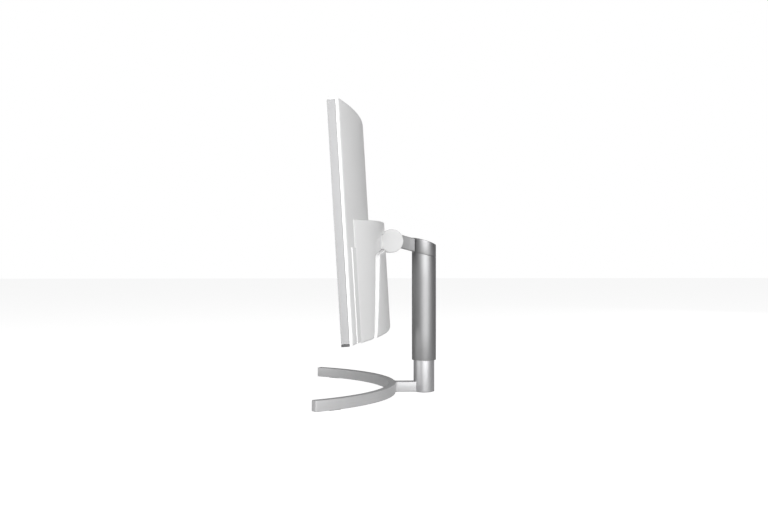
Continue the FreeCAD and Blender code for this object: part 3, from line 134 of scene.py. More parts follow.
class HousingSizes(bpy.types.PropertyGroup):
    """Sizes of the rear housing, its flange and the channel in it."""
    width: length("Width", 0.704, "Rear housing, side to side")
    radius: length("Radius", 1.05, "Curve of the rear housing, seen from above")
    bulge: length("Bulge", 0.0285, "How far it stands out of the back cover")
    top: length("Top", 0.0048, "Its top above mid height")
    drop: length("Drop", 0.0046, "How far its back edge hangs below the panel")
    lower_round: length("Lower rounding", 0.005, "Rounding of its lower rear edge")
    edge_round: length("Edge rounding", 0.0016, "Rounding of its other edges")
    flange_width: length("Flange width", 0.756, "Thin flange, side to side")
    flange_thick: length("Flange", 0.0009, "Thickness of the flange")
    flange_top: length("Flange top", 0.038, "Top of the flange below mid height")
    channel: length("Channel", 0.008, "Depth of the channel round the lower cover")
    slant: FloatProperty(name="Slant", default=0.0432, description="Rise of its underside towards the front")


class StandSizes(bpy.types.PropertyGroup):
    """Sizes of the hinge, the column and the crescent foot."""
    cap: length("Cap", 0.0425, "Diameter of the hinge caps")
    hinge_width: length("Hinge width", 0.09, "Over the two hinge caps")
    cap_thick: length("Cap thickness", 0.004, "Thickness of a hinge cap")
    sleeve: length("Sleeve", extent("sleeve").x, "Diameter of the outer tube")
    post: length("Post", extent("post").x, "Diameter of the inner tube")
    seam: length("Seam", 0.2533, "Height of the seam under the head")
    seam_slope: FloatProperty(name="Seam slope", default=math.radians(12), subtype="ANGLE",
                              description="Fall of the seam towards the back")
    head_front: length("Head front", 0.2846, "Top of the head at the front")
    head_back: length("Head back", 0.2714, "Top of the head at the back")
    head_radius: length("Head radius", 0.135, "Curve of the head's top")
    arc_radius: length("Arc radius", 0.302, "Outer edge of the crescent foot")
    arc_thick: length("Arc thickness", 0.013, "Front to back of its bar")
    arc_angle: FloatProperty(name="Arc angle", default=math.radians(57.9), subtype="ANGLE",
                             description="Half angle of the crescent")
    arm_width: length("Arm width", 0.034, "Arm where it meets the column head")
    arm_height: length("Arm height", 0.0235, "Arm, across its slope")
    arm_slope: FloatProperty(name="Arm slope", default=math.radians(15.2), subtype="ANGLE",
                             description="Fall of the arm towards the column")
    arm_lift: length("Arm lift", 0.0044, "Arm's middle line above the hinge axis")


class FinishColours(bpy.types.PropertyGroup):
    """Base colours of the finishes."""
    white: colour("White covers", (0.88, 0.88, 0.88), "Semi-gloss white mouldings")
    # The hinge caps are the same white plastic as the covers; their greyer colour is painted shade, as they face
    # the key light
    cap: colour("Hinge caps", (0.62, 0.62, 0.62), "Satin caps of the hinge")
    trim: colour("Silver trim", (0.43, 0.43, 0.435), "Satin trims at the sides and top")
    bezel: colour("Dark bezel", (0.09, 0.09, 0.093), "Bezel under the screen")
    brushed: colour("Brushed metal", (0.36, 0.36, 0.364), "Column tubes")
    painted: colour("Foot metal", (0.56, 0.56, 0.565), "Crescent foot")
    # The arm is the same painted silver as the foot; its darker colour is painted shade, as its flat sides face
    # the key light
    arm: colour("Arm metal", (0.30, 0.30, 0.303), "Arm between the head and the hinge")
    # The post is the same brushed metal as the sleeve; its lighter colour is painted light, matching how brightly
    # it shows
    post: colour("Post metal", (0.62, 0.62, 0.63), "Inner tube")
    screen: colour("Screen", (0.006, 0.006, 0.007), "Screen when off")
    black: colour("Black plastic", (0.018, 0.018, 0.02), "Port plate and stick")


def display_sizes():
    """The scene's sizes of the display."""
    return bpy.context.scene.monitor_display


def housing_sizes():
    """The scene's sizes of the rear housing."""
    return bpy.context.scene.monitor_housing


def stand_sizes():
    """The scene's sizes of the stand."""
    return bpy.context.scene.monitor_stand


# ---------------------------------------------------------------- the display's own frame
def screen_depth(x, behind=0.0):
    """Depth of the screen's cylinder at x, or of a surface some way behind it."""
    size = display_sizes()
    radius = size.screen_radius
    sag = radius - math.sqrt(radius ** 2 - (size.width / 2) ** 2)
    return sag - radius + math.sqrt((radius + behind) ** 2 - x ** 2)


def housing_back():
    """Depth of the rear housing at the middle."""
    return screen_depth(0, display_sizes().cover_depth) + housing_sizes().bulge


def housing_depth(x, inset=0.0):
    """Depth of the housing's back at x, or of a surface some way inside it."""
    radius = housing_sizes().radius - inset
    return housing_back() - housing_sizes().radius + math.sqrt(radius ** 2 - x ** 2)


def display_matrix():
    """From the display's frame to the row frame: the hinge axis is where the joint says."""
    hinge_depth = housing_back() + HINGE_BEHIND_HOUSING
    base = HINGE - BACKWARD * hinge_depth + UPWARD * HINGE_DROP
    columns = (ACROSS, BACKWARD, UPWARD, base)
    return Matrix([[column[i] for column in columns] for i in range(3)] + [[0, 0, 0, 1]])


# ---------------------------------------------------------------- mesh helpers
def finish_piece(name, bm, body, material, replaced=(), sharp=32, in_display=False):
    """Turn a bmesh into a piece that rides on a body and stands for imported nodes."""
    bmesh.ops.remove_doubles(bm, verts=bm.verts, dist=1e-6)
    bmesh.ops.recalc_face_normals(bm, faces=bm.faces)
    if in_display:
        bm.transform(display_matrix())
    mesh = bpy.data.meshes.new(name)
    bm.to_mesh(mesh)
    bm.free()
    mesh.shade_smooth()
    mesh.set_sharp_from_angle(angle=math.radians(sharp))
    thing = bpy.data.objects.new(name, mesh)
    bpy.context.scene.collection.objects.link(thing)
    mesh.materials.append(material)
    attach(thing, body)
    if replaced:
        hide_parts(*replaced)
    return thing


def strip(bm, lower, upper, closed=True):
    """Quads between two rows of vertices."""
    count = len(lower) if closed else len(lower) - 1
    for i in range(count):
        j = (i + 1) % len(lower)
        bm.faces.new((lower[i], lower[j], upper[j], upper[i]))


def rings(bm, rows, cap_start=True, cap_end=True):
    """A closed skin through rows of points, each row a closed ring."""
    made = [[bm.verts.new(point) for point in row] for row in rows]
    for lower, upper in zip(made, made[1:]):
        strip(bm, lower, upper)
    if cap_start:
        bm.faces.new(made[0][::-1])
    if cap_end:
        bm.faces.new(made[-1])
    return made


def roll(radius, steps=5):
    """Offsets across and down a rounded edge, from the wall's top to the flat."""
    turns = [math.pi / 2 * i / steps for i in range(steps + 1)]
    return [(radius * (1 - math.cos(turn)), radius * (1 - math.sin(turn))) for turn in turns]


def turned(bm, profile, matrix, sides=96):
    """A turned piece: a profile of (radius, height) spun round z and placed by a matrix."""
    rows = []
    for radius, height in profile:
        row = []
        for i in range(sides):
            turn = 2 * math.pi * i / sides
            row.append(matrix @ Vector((radius * math.cos(turn), radius * math.sin(turn), height)))
        rows.append(row)
    rings(bm, rows)


def rounded_ends(low, high, edge):
    """Places near both ends of a bar, each with how far its section shrinks there to round the end."""
    start = [(low + edge * along, edge * shrink) for along, shrink in ROUNDED_END]
    end = [(high - edge * along, edge * shrink) for along, shrink in ROUNDED_END]
    return start, end[::-1]


def slab(bm, x, depth, rise, bevel, parts=1):
    """A bar of rectangular section that follows the screen's curve, with its long edges bevelled."""
    low_depth, high_depth = depth
    low, high = rise
    section = []
    for corner_depth, corner_rise, turn in ((low_depth, low, 180), (high_depth, low, 270),
                                            (high_depth, high, 0), (low_depth, high, 90)):
        centre = (corner_depth + bevel * (1 if corner_depth == low_depth else -1),
                  corner_rise + bevel * (1 if corner_rise == low else -1))
        for i in range(4):
            angle = math.radians(turn + 30 * i)
            section.append((centre[0] + bevel * math.cos(angle), centre[1] + bevel * math.sin(angle)))
    middle = (sum(depth) / 2, sum(rise) / 2)
    start, end = rounded_ends(*x, bevel)
    between = [(x[0] + (x[1] - x[0]) * i / parts, 0) for i in range(1, parts)]
    placed = []
    for across, shrink in start + between + end:
        row = []
        for d, v in section:
            toward = Vector((middle[0] - d, middle[1] - v))
            d += math.copysign(min(shrink, abs(toward.x)), toward.x)
            v += math.copysign(min(shrink, abs(toward.y)), toward.y)
            row.append((across, screen_depth(across, d), v))
        placed.append(row)
    rings(bm, placed)


# ---------------------------------------------------------------- outlines and moulded covers
def arc_between(start, end, radius, step=0.003):
    """Points of an arc that bulges to the right of the way from start to end, without its end."""
    chord = end - start
    side = Vector((-chord.y, chord.x)).normalized()
    centre = (start + end) / 2 + side * math.sqrt(radius ** 2 - chord.length ** 2 / 4)
    first = math.atan2(start.y - centre.y, start.x - centre.x)
    sweep = 2 * math.asin(chord.length / 2 / radius)
    count = max(4, int(sweep * radius / step))
    turns = [first + sweep * i / count for i in range(count)]
    return [centre + radius * Vector((math.cos(turn), math.sin(turn))) for turn in turns]


def line_between(start, end, step=0.008):
    """Points of a line without its end. A slanted one bulges by a hair, as points in line mesh badly."""
    way = end - start
    if way.length < 2 * step:
        return [start]
    if way.x and way.y:
        return arc_between(start, end, SLANT_RADIUS, step)
    count = max(1, int(way.length / step))
    return [start + way * i / count for i in range(count)]


def outline(points):
    """A closed outline from corners (x, rise) or (x, rise, radius of the arc to the next corner)."""
    spots = [Vector(point[:2]) for point in points]
    made = []
    for i, point in enumerate(points):
        start, end = spots[i], spots[(i + 1) % len(spots)]
        made += arc_between(start, end, point[2]) if len(point) == 3 else line_between(start, end)
    return made


def circle(x, y, radius, count=40):
    """A hole's outline, drawn clockwise."""
    turns = [-2 * math.pi * i / count for i in range(count)]
    return [Vector((x + radius * math.cos(turn), y + radius * math.sin(turn))) for turn in turns]


def inside(point, loop):
    """Whether a point lies in a closed outline."""
    within = False
    for a, b in zip(loop, loop[1:] + loop[:1]):
        if (a.y > point.y) != (b.y > point.y):
            if point.x < (b.x - a.x) * (point.y - a.y) / (b.y - a.y) + a.x:
                within = not within
    return within


def inward(loop, distances):
    """The outline moved into the material by a distance at each point."""
    moved = []
    for i, point in enumerate(loop):
        before, after = loop[i - 1], loop[(i + 1) % len(loop)]
        first = (point - before).normalized()
        second = (after - point).normalized()
        one, two = Vector((-first.y, first.x)), Vector((-second.y, second.x))
        moved.append(point + (one + two) / max(0.4, 1 + one.dot(two)) * distances[i])
    return moved


def fill(loops, step):
    """Triangles inside the first outline and outside the others, with a grid of points between them."""
    points, edges = [], []
    for loop in loops:
        start = len(points)
        points += loop
        edges += [(start + i, start + (i + 1) % len(loop)) for i in range(len(loop))]
    low = Vector((min(p.x for p in loops[0]), min(p.y for p in loops[0])))
    high = Vector((max(p.x for p in loops[0]), max(p.y for p in loops[0])))
    clear = min(step) * 0.35
    columns, rows = int((high.x - low.x) / step[0]) + 1, int((high.y - low.y) / step[1]) + 1
    for i in range(1, columns):
        for j in range(1, rows):
            spot = Vector((low.x + (high.x - low.x) * i / columns, low.y + (high.y - low.y) * j / rows))
            if not inside(spot, loops[0]) or any(inside(spot, loop) for loop in loops[1:]):
                continue
            if min((spot - p).length_squared for loop in loops for p in loop) > clear ** 2:
                points.append(spot)
    made, _, faces, _, _, _ = delaunay_2d_cdt([point / MILLI for point in points], edges, [], 0, 1e-6)
    made = [point * MILLI for point in made]
    kept = []
    for face in faces:
        middle = sum((made[i] for i in face), Vector((0, 0))) / len(face)
        if inside(middle, loops[0]) and not any(inside(middle, loop) for loop in loops[1:]):
            kept.append(face)
    return made, kept


def relief(bm, border, surface, base, radius, holes=(), hole_radius=0.0006, step=(0.012, 0.03), warp=None):
    """A closed moulded cover: an outline lifted to a surface, with rolled edges and a wall to a base."""
    def put(point, depth):
        x, rise = point.x, point.y
        if warp:
            rise = warp(x, depth, rise)
        return bm.verts.new((x, depth, rise))

    tops, bottoms = [], []
    for k, loop in enumerate([border, *holes]):
        size = [radius(p) if k == 0 else hole_radius for p in loop]
        size = [min(r, 0.9 * max(1e-5, surface(p) - base(p))) for r, p in zip(size, loop)]
        rows = []
        for across, down in roll(1.0):
            moved = inward(loop, [r * across for r in size])
            rows.append((moved, [surface(p) - r * down for p, r in zip(moved, size)]))
        tops.append(rows[-1][0])
        bottoms.append(loop)
        lines = [[put(p, base(p)) for p in loop]]
        lines += [[put(p, d) for p, d in zip(moved, depths)] for moved, depths in rows]
        for lower, upper in zip(lines, lines[1:]):
            strip(bm, lower, upper)
    for loops, height in ((tops, surface), (bottoms, base)):
        points, faces = fill(loops, step)
        placed = [put(p, height(p)) for p in points]
        for face in faces:
            bm.faces.new([placed[i] for i in face])


def fine_taper(low_edge):
    """Slant of the housing's underside: its lower edge rises towards the front."""
    size = housing_sizes()
    reach, fade = 0.03, 0.024

    def warp(x, depth, rise):
        share = min(1.0, max(0.0, (low_edge + reach - rise) / fade))
        return rise + size.slant * (housing_back() - depth) * share
    return warp


# ---------------------------------------------------------------- shader groups
def new_group(name, inputs, outputs):
    """A new shader group with its sockets, and its input and output nodes."""
    group = bpy.data.node_groups.new(name, "ShaderNodeTree")
    for label, kind, default in inputs:
        socket = group.interface.new_socket(label, in_out="INPUT", socket_type=kind)
        if default is not None:
            socket.default_value = default
    for label, kind in outputs:
        group.interface.new_socket(label, in_out="OUTPUT", socket_type=kind)
    return group, group.nodes.new("NodeGroupInput"), group.nodes.new("NodeGroupOutput")


def feed(tree, socket, value):
    """Set a socket to a number, or link it to another socket."""
    if isinstance(value, (int, float)):
        socket.default_value = value
    else:
        tree.links.new(value, socket)


def math_node(tree, operation, first, second=None, third=None):
    """Result of a sum on numbers or sockets."""
    node = tree.nodes.new("ShaderNodeMath")
    node.operation = operation
    for i, value in enumerate((first, second, third)):
        if value is not None:
            feed(tree, node.inputs[i], value)
    return node.outputs[0]


def tinted(tree, base, amount):
    """A colour made lighter or darker by a value round 1."""
    node = tree.nodes.new("ShaderNodeVectorMath")
    node.operation = "SCALE"
    tree.links.new(base, node.inputs[0])
    tree.links.new(amount, node.inputs["Scale"])
    return node.outputs[0]


def noise(tree, vector, scale, detail=3.0, roughness=0.55):
    """Value of a noise texture, from 0 to 1."""
    node = tree.nodes.new("ShaderNodeTexNoise")
    tree.links.new(vector, node.inputs["Vector"])
    feed(tree, node.inputs["Scale"], scale)
    node.inputs["Detail"].default_value = detail
    node.inputs["Roughness"].default_value = roughness
    return node.outputs["Fac"]


def object_space(tree):
    """Coordinates in the piece's own space, in metres."""
    return tree.nodes.new("ShaderNodeTexCoord").outputs["Object"]


def moulded_grain():
    """Fine spark-eroded texture of a moulded cover, with faint unevenness and dust in its colour."""
    name = "moulded_grain"
    if name in bpy.data.node_groups:
        return bpy.data.node_groups[name]
    tree, ins, outs = new_group(name, [
        ("Colour", "NodeSocketColor", (0.8, 0.8, 0.8, 1)), ("Grain", "NodeSocketFloat", 2600.0),
        ("Unevenness", "NodeSocketFloat", 0.03), ("Roughness", "NodeSocketFloat", 0.35),
    ], [("Colour", "NodeSocketColor"), ("Roughness", "NodeSocketFloat"), ("Height", "NodeSocketFloat")])
    place = object_space(tree)
    fine = noise(tree, place, ins.outputs["Grain"], 2.0)
    broad = noise(tree, place, 9.0, 4.0)
    centred = math_node(tree, "SUBTRACT", broad, 0.5)
    level = math_node(tree, "MULTIPLY_ADD", centred, ins.outputs["Unevenness"], 1.0)
    tree.links.new(tinted(tree, ins.outputs["Colour"], level), outs.inputs["Colour"])
    worn = math_node(tree, "MULTIPLY_ADD", centred, 0.16, ins.outputs["Roughness"])
    tree.links.new(worn, outs.inputs["Roughness"])
    tree.links.new(fine, outs.inputs["Height"])
    return tree


def brushed_lines():
    """Hairlines along one direction: the coordinates are stretched, so the noise runs in long strokes."""
    name = "brushed_lines"
    if name in bpy.data.node_groups:
        return bpy.data.node_groups[name]
    tree, ins, outs = new_group(name, [
        ("Colour", "NodeSocketColor", (0.7, 0.7, 0.7, 1)), ("Place", "NodeSocketVector", None),
        ("Stretch", "NodeSocketVector", (1.0, 1.0, 1.0)), ("Contrast", "NodeSocketFloat", 0.25),
        ("Roughness", "NodeSocketFloat", 0.3),
    ], [("Colour", "NodeSocketColor"), ("Roughness", "NodeSocketFloat"), ("Height", "NodeSocketFloat")])
    stretched = tree.nodes.new("ShaderNodeVectorMath")
    stretched.operation = "MULTIPLY"
    tree.links.new(ins.outputs["Place"], stretched.inputs[0])
    tree.links.new(ins.outputs["Stretch"], stretched.inputs[1])
    strokes = noise(tree, stretched.outputs[0], 1.0, 6.0, 0.7)
    cloudy = noise(tree, ins.outputs["Place"], 24.0, 3.0)
    centred = math_node(tree, "SUBTRACT", strokes, 0.5)
    level = math_node(tree, "MULTIPLY_ADD", centred, ins.outputs["Contrast"], 1.0)
    level = math_node(tree, "MULTIPLY_ADD", math_node(tree, "SUBTRACT", cloudy, 0.5), 0.06, level)
    tree.links.new(tinted(tree, ins.outputs["Colour"], level), outs.inputs["Colour"])
    rough = math_node(tree, "MULTIPLY_ADD", centred, 0.35, ins.outputs["Roughness"])
    tree.links.new(rough, outs.inputs["Roughness"])
    tree.links.new(strokes, outs.inputs["Height"])
    return tree


def worn_edges():
    """A lighter mask on convex edges."""
    name = "worn_edges"
    if name in bpy.data.node_groups:
        return bpy.data.node_groups[name]
    tree, ins, outs = new_group(name, [
        ("Colour", "NodeSocketColor", (0.7, 0.7, 0.7, 1)), ("Worn", "NodeSocketColor", (0.9, 0.9, 0.9, 1)),
        ("Amount", "NodeSocketFloat", 0.4),
    ], [("Colour", "NodeSocketColor")])
    geometry = tree.nodes.new("ShaderNodeNewGeometry")
    sharp = tree.nodes.new("ShaderNodeMapRange")
    sharp.inputs["From Min"].default_value = 0.52
    sharp.inputs["From Max"].default_value = 0.62
    tree.links.new(geometry.outputs["Pointiness"], sharp.inputs["Value"])
    broken = math_node(tree, "MULTIPLY", sharp.outputs[0], noise(tree, object_space(tree), 320.0))
    mix = tree.nodes.new("ShaderNodeMix")
    mix.data_type = "RGBA"
    tree.links.new(math_node(tree, "MULTIPLY", broken, ins.outputs["Amount"]), mix.inputs["Factor"])
    tree.links.new(ins.outputs["Colour"], mix.inputs["A"])
    tree.links.new(ins.outputs["Worn"], mix.inputs["B"])
    tree.links.new(mix.outputs["Result"], outs.inputs["Colour"])
    return tree


# ---------------------------------------------------------------- finishes
def new_material(name, group, values, metallic=0.0, bump=0.1, distance=0.00004, coat=0.0, coat_roughness=0.1,
                 ior=1.5, anisotropic=0.0, specular=0.5):
    """A Principled material fed by one of the effect groups."""
    material = bpy.data.materials.new(name)
    material.use_nodes = True
    tree = material.node_tree
    shader = tree.nodes["Principled BSDF"]
    effect = tree.nodes.new("ShaderNodeGroup")
    effect.node_tree = group
    for label, value in values.items():
        effect.inputs[label].default_value = value
    shader.inputs["Metallic"].default_value = metallic
    shader.inputs["IOR"].default_value = ior
    shader.inputs["Coat Weight"].default_value = coat
    shader.inputs["Coat Roughness"].default_value = coat_roughness
    shader.inputs["Anisotropic"].default_value = anisotropic
    shader.inputs["Specular IOR Level"].default_value = specular
    tree.links.new(effect.outputs["Colour"], shader.inputs["Base Color"])
    tree.links.new(effect.outputs["Roughness"], shader.inputs["Roughness"])
    relief_node = tree.nodes.new("ShaderNodeBump")
    relief_node.inputs["Strength"].default_value = bump
    relief_node.inputs["Distance"].default_value = distance
    tree.links.new(effect.outputs["Height"], relief_node.inputs["Height"])
    tree.links.new(relief_node.outputs["Normal"], shader.inputs["Normal"])
    return material


def moulded(name, base, roughness, grain=2600.0, unevenness=0.03, **more):
    """Moulded plastic."""
    return new_material(name, moulded_grain(), {
        "Colour": (*base, 1), "Grain": grain, "Unevenness": unevenness, "Roughness": roughness}, **more)


def metal(name, base, roughness, stretch, contrast=0.2, round_column=False, round_arc=False, wear=0.25,
          **more):
    """Brushed metal. Its strokes follow the axes, the column's turn or the crescent, whichever is set."""
    more.setdefault("metallic", 1.0)
    material = new_material(name, brushed_lines(), {
        "Colour": (*base, 1), "Stretch": stretch, "Contrast": contrast, "Roughness": roughness}, **more)
    tree = material.node_tree
    effect = next(node for node in tree.nodes if node.type == "GROUP")
    place = object_space(tree)
    if round_column or round_arc:
        place = polar_place(tree, place, round_arc)
    tree.links.new(place, effect.inputs["Place"])
    edges = tree.nodes.new("ShaderNodeGroup")
    edges.node_tree = worn_edges()
    edges.inputs["Worn"].default_value = (*[min(1, c * 1.35) for c in base], 1)
    edges.inputs["Amount"].default_value = wear
    tree.links.new(effect.outputs["Colour"], edges.inputs["Colour"])
    tree.links.new(edges.outputs["Colour"], tree.nodes["Principled BSDF"].inputs["Base Color"])
    return material


def polar_place(tree, place, round_arc):
    """Coordinates round the column's axis, or round the crescent's centre: angle, radius, height."""
    parts = tree.nodes.new("ShaderNodeSeparateXYZ")
    tree.links.new(place, parts.inputs[0])
    size = stand_sizes()
    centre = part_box("base_arc")[1].y - size.arc_radius if round_arc else 0.0
    y = math_node(tree, "SUBTRACT", parts.outputs["Y"], centre)
    angle = math_node(tree, "ARCTAN2", parts.outputs["X"], y)
    square = math_node(tree, "MULTIPLY", parts.outputs["X"], parts.outputs["X"])
    radius = math_node(tree, "SQRT", math_node(tree, "MULTIPLY_ADD", y, y, square))
    joined = tree.nodes.new("ShaderNodeCombineXYZ")
    tree.links.new(angle, joined.inputs["X"])
    tree.links.new(radius, joined.inputs["Y"])
    tree.links.new(parts.outputs["Z"], joined.inputs["Z"])
    return joined.outputs[0]


def finish(kind):
    """A finish of this add-on's own, made once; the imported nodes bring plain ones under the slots' names."""
    name = "finish_" + kind
    if name in bpy.data.materials:
        return bpy.data.materials[name]
    tint = bpy.context.scene.monitor_colours
    makers = {
        "white_cover": lambda: moulded(name, tint.white, 0.36, 2400.0, 0.02, bump=0.06, coat=0.15,
                                       coat_roughness=0.25),
        # Greyer copy of the white cover: painted shade on the hinge caps, which face the key light
        "cap_white_painted_shade": lambda: moulded(name, tint.cap, 0.5, 2400.0, 0.02, bump=0.06),
        "silver_trim": lambda: metal(name, tint.trim, 0.6, (60.0, 900.0, 60.0), 0.10, metallic=0.0,
                                     bump=0.05),
        "dark_bezel": lambda: moulded(name, tint.bezel, 0.5, 2200.0, 0.08, bump=0.12),
        "screen_surface": lambda: moulded(name, tint.screen, 0.22, 3200.0, 0.05, bump=0.03, coat=0.3,
                                          coat_roughness=0.3),
        "black_plastic": lambda: moulded(name, tint.black, 0.45, 1800.0, 0.1, bump=0.15),
        "optical_sheet": lambda: moulded(name, (0.86, 0.87, 0.88), 0.6, 3000.0, 0.02),
        "clear_acrylic": lambda: moulded(name, (0.82, 0.86, 0.88), 0.15, 800.0, 0.02),
        "led_strip": lambda: metal(name, (0.7, 0.7, 0.66), 0.4, (40.0, 400.0, 400.0)),
        "sheet_steel": lambda: metal(name, (0.5, 0.51, 0.52), 0.38, (500.0, 500.0, 18.0), 0.25, bump=0.1),
        "circuit_board": lambda: moulded(name, (0.012, 0.11, 0.04), 0.35, 900.0, 0.35, bump=0.2),
        "heat_sink_metal": lambda: metal(name, (0.55, 0.56, 0.58), 0.42, (700.0, 90.0, 20.0), 0.2),
        "fastener_steel": lambda: metal(name, (0.45, 0.45, 0.46), 0.32, (700.0, 700.0, 60.0), 0.2),
        "ribbon_film": lambda: moulded(name, (0.48, 0.2, 0.05), 0.3, 1200.0, 0.1, bump=0.05),
        "socket_metal": lambda: metal(name, (0.6, 0.6, 0.6), 0.25, (300.0, 60.0, 300.0), 0.15),
        "brass_insert": lambda: metal(name, (0.62, 0.44, 0.18), 0.3, (900.0, 60.0, 900.0), 0.3),
        "brushed_silver": lambda: metal(name, tint.brushed, 0.5, (260.0, 1.0, 3.0), 0.20, round_column=True,
                                        bump=0.25),
        "painted_silver": lambda: metal(name, tint.painted, 0.5, (3.0, 900.0, 900.0), 0.22, round_arc=True,
                                        metallic=0.3, bump=0.2),
        # Darker copy of the foot's painted silver: painted shade on the arm, whose sides face the key light
        "arm_silver_painted_shade": lambda: metal(name, tint.arm, 0.5, (900.0, 3.0, 900.0), 0.15, metallic=0.1, bump=0.2),
        # Lighter copy of the sleeve's brushed metal: painted light on the post
        "post_silver_painted_light": lambda: metal(name, tint.post, 0.42, (260.0, 1.0, 3.0), 0.20, round_column=True,
                                     bump=0.25),
        "cast_silver": lambda: metal(name, tint.brushed, 0.48, (6.0, 1.0, 900.0), 0.30, round_column=True,
                                     bump=0.25),
        "bush_plastic": lambda: moulded(name, (0.1, 0.1, 0.105), 0.5, 1500.0, 0.1),
        "rubber_pad": lambda: moulded(name, (0.02, 0.02, 0.02), 0.8, 900.0, 0.2, bump=0.4),
    }
    return makers[kind]()


# ---------------------------------------------------------------- operators
class PieceOperator:
    """What every operator of this add-on shares."""
    bl_options = {"REGISTER", "UNDO"}


class MONITOR_OT_carry_over(PieceOperator, bpy.types.Operator):
    """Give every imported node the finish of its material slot"""
    bl_idname = "monitor.carry_over"
    bl_label = "Finish the packed nodes"

    def execute(self, context):
        slots = {part["node"]: part["material_slot"] for part in frame["record"]["subparts"]}
        for node, thing in frame["nodes"].items():
            thing.data.materials.clear()
            thing.data.materials.append(finish(slots[node]))
        return {"FINISHED"}


class MONITOR_OT_trims(PieceOperator, bpy.types.Operator):
    """Silver trims at the sides and top, and the dark bezel under the screen"""
    bl_idname = "monitor.trims"
    bl_label = "Trims"

    def execute(self, context):
        size = display_sizes()
        half, tall = size.width / 2, size.height / 2
        low, high = -tall + size.bottom_trim, tall - size.top_trim
        depth = (0.0, size.trim_depth)
        edge, gap, lip = 0.00035, 0.0002, 0.0016
        for label, x in (("side_trim_left", (-half, -half + size.trim_wall)),
                         ("side_trim_right", (half - size.trim_wall, half))):
            bm = bmesh.new()
            slab(bm, x, depth, (low + gap, high - gap), edge)
            finish_piece(label + "_piece", bm, "display", finish("silver_trim"), [label],
                         in_display=True)
        bm = bmesh.new()
        slab(bm, (-half + size.trim_wall, half - size.trim_wall), depth, (high, tall), edge, 90)
        finish_piece("top_trim_piece", bm, "display", finish("silver_trim"), ["top_trim"],
                     in_display=True)
        for label, x in (("left", (-half, -half + size.trim_wall - gap / 2)),
                         ("right", (half - size.trim_wall + gap / 2, half))):
            bm = bmesh.new()
            slab(bm, x, depth, (high, tall), edge)
            finish_piece("top_corner_" + label, bm, "display", finish("white_cover"),
                         in_display=True)
        bm = bmesh.new()
        slab(bm, (-half, half), depth, (-tall, low - gap), edge, 90)
        inner = half - size.trim_wall - gap
        slab(bm, (-inner, inner), (0.0, lip), (low - gap, -tall + size.chin), edge, 90)
        finish_piece("bottom_bezel_piece", bm, "display", finish("dark_bezel"),
                     ["bottom_bezel"], in_display=True)
        return {"FINISHED"}


class MONITOR_OT_screen(PieceOperator, bpy.types.Operator):
    """The screen's glass"""
    bl_idname = "monitor.screen"
    bl_label = "Screen"

    def execute(self, context):
        size = display_sizes()
        margin, edge = 0.0034, 0.0002
        half, tall = size.width / 2 - margin, size.height / 2
        depth = (0.0005, 0.0023)
        rise = (-tall + size.chin + 0.0003, tall - size.top_trim - 0.001)
        bm = bmesh.new()
        slab(bm, (-half, half), depth, rise, edge, 120)
        finish_piece("lcd_panel_piece", bm, "display", finish("screen_surface"),
                     ["lcd_panel"], in_display=True)
        return {"FINISHED"}


class MONITOR_OT_back_cover(PieceOperator, bpy.types.Operator):
    """The large curved cover behind the screen"""
    bl_idname = "monitor.back_cover"
    bl_label = "Back cover"

    def execute(self, context):
        size, housing = display_sizes(), housing_sizes()
        half, tall = size.width / 2, size.height / 2
        border = outline([(-half, -tall), (half, -tall), (half, tall), (-half, tall)])
        front = size.trim_depth + size.shadow_gap
        side, sill, lintel = housing.width / 2 - 0.06, -tall + 0.0075, -0.005
        window = outline([(-side, sill), (-side, lintel), (side, lintel), (side, sill)])
        bm = bmesh.new()
        relief(bm, border, lambda p: screen_depth(p.x, size.cover_depth), lambda p: screen_depth(p.x, front),
               lambda p: size.cover_round, [window], step=(0.012, 0.02))
        finish_piece("back_cover_piece", bm, "display", finish("white_cover"),
                     ["back_cover"], in_display=True)
        return {"FINISHED"}


def channel_outline(low):
    """Outer edge of the channel round the lower cover, from its left foot round to its left waist."""
    return [(-0.277, low), (0.277, low), (0.229, -0.042, 0.030), (0.200, -0.025, 1.500),
            (-0.200, -0.025, 0.030), (-0.229, -0.042)]


def lower_cover_outline(low):
    """Edge of the lower cover, which lies in the channel."""
    return [(-0.258, low), (0.258, low), (0.194, -0.058, 0.016), (0.182, -0.0505, 2.210),
            (-0.182, -0.0505, 0.016), (-0.194, -0.058)]


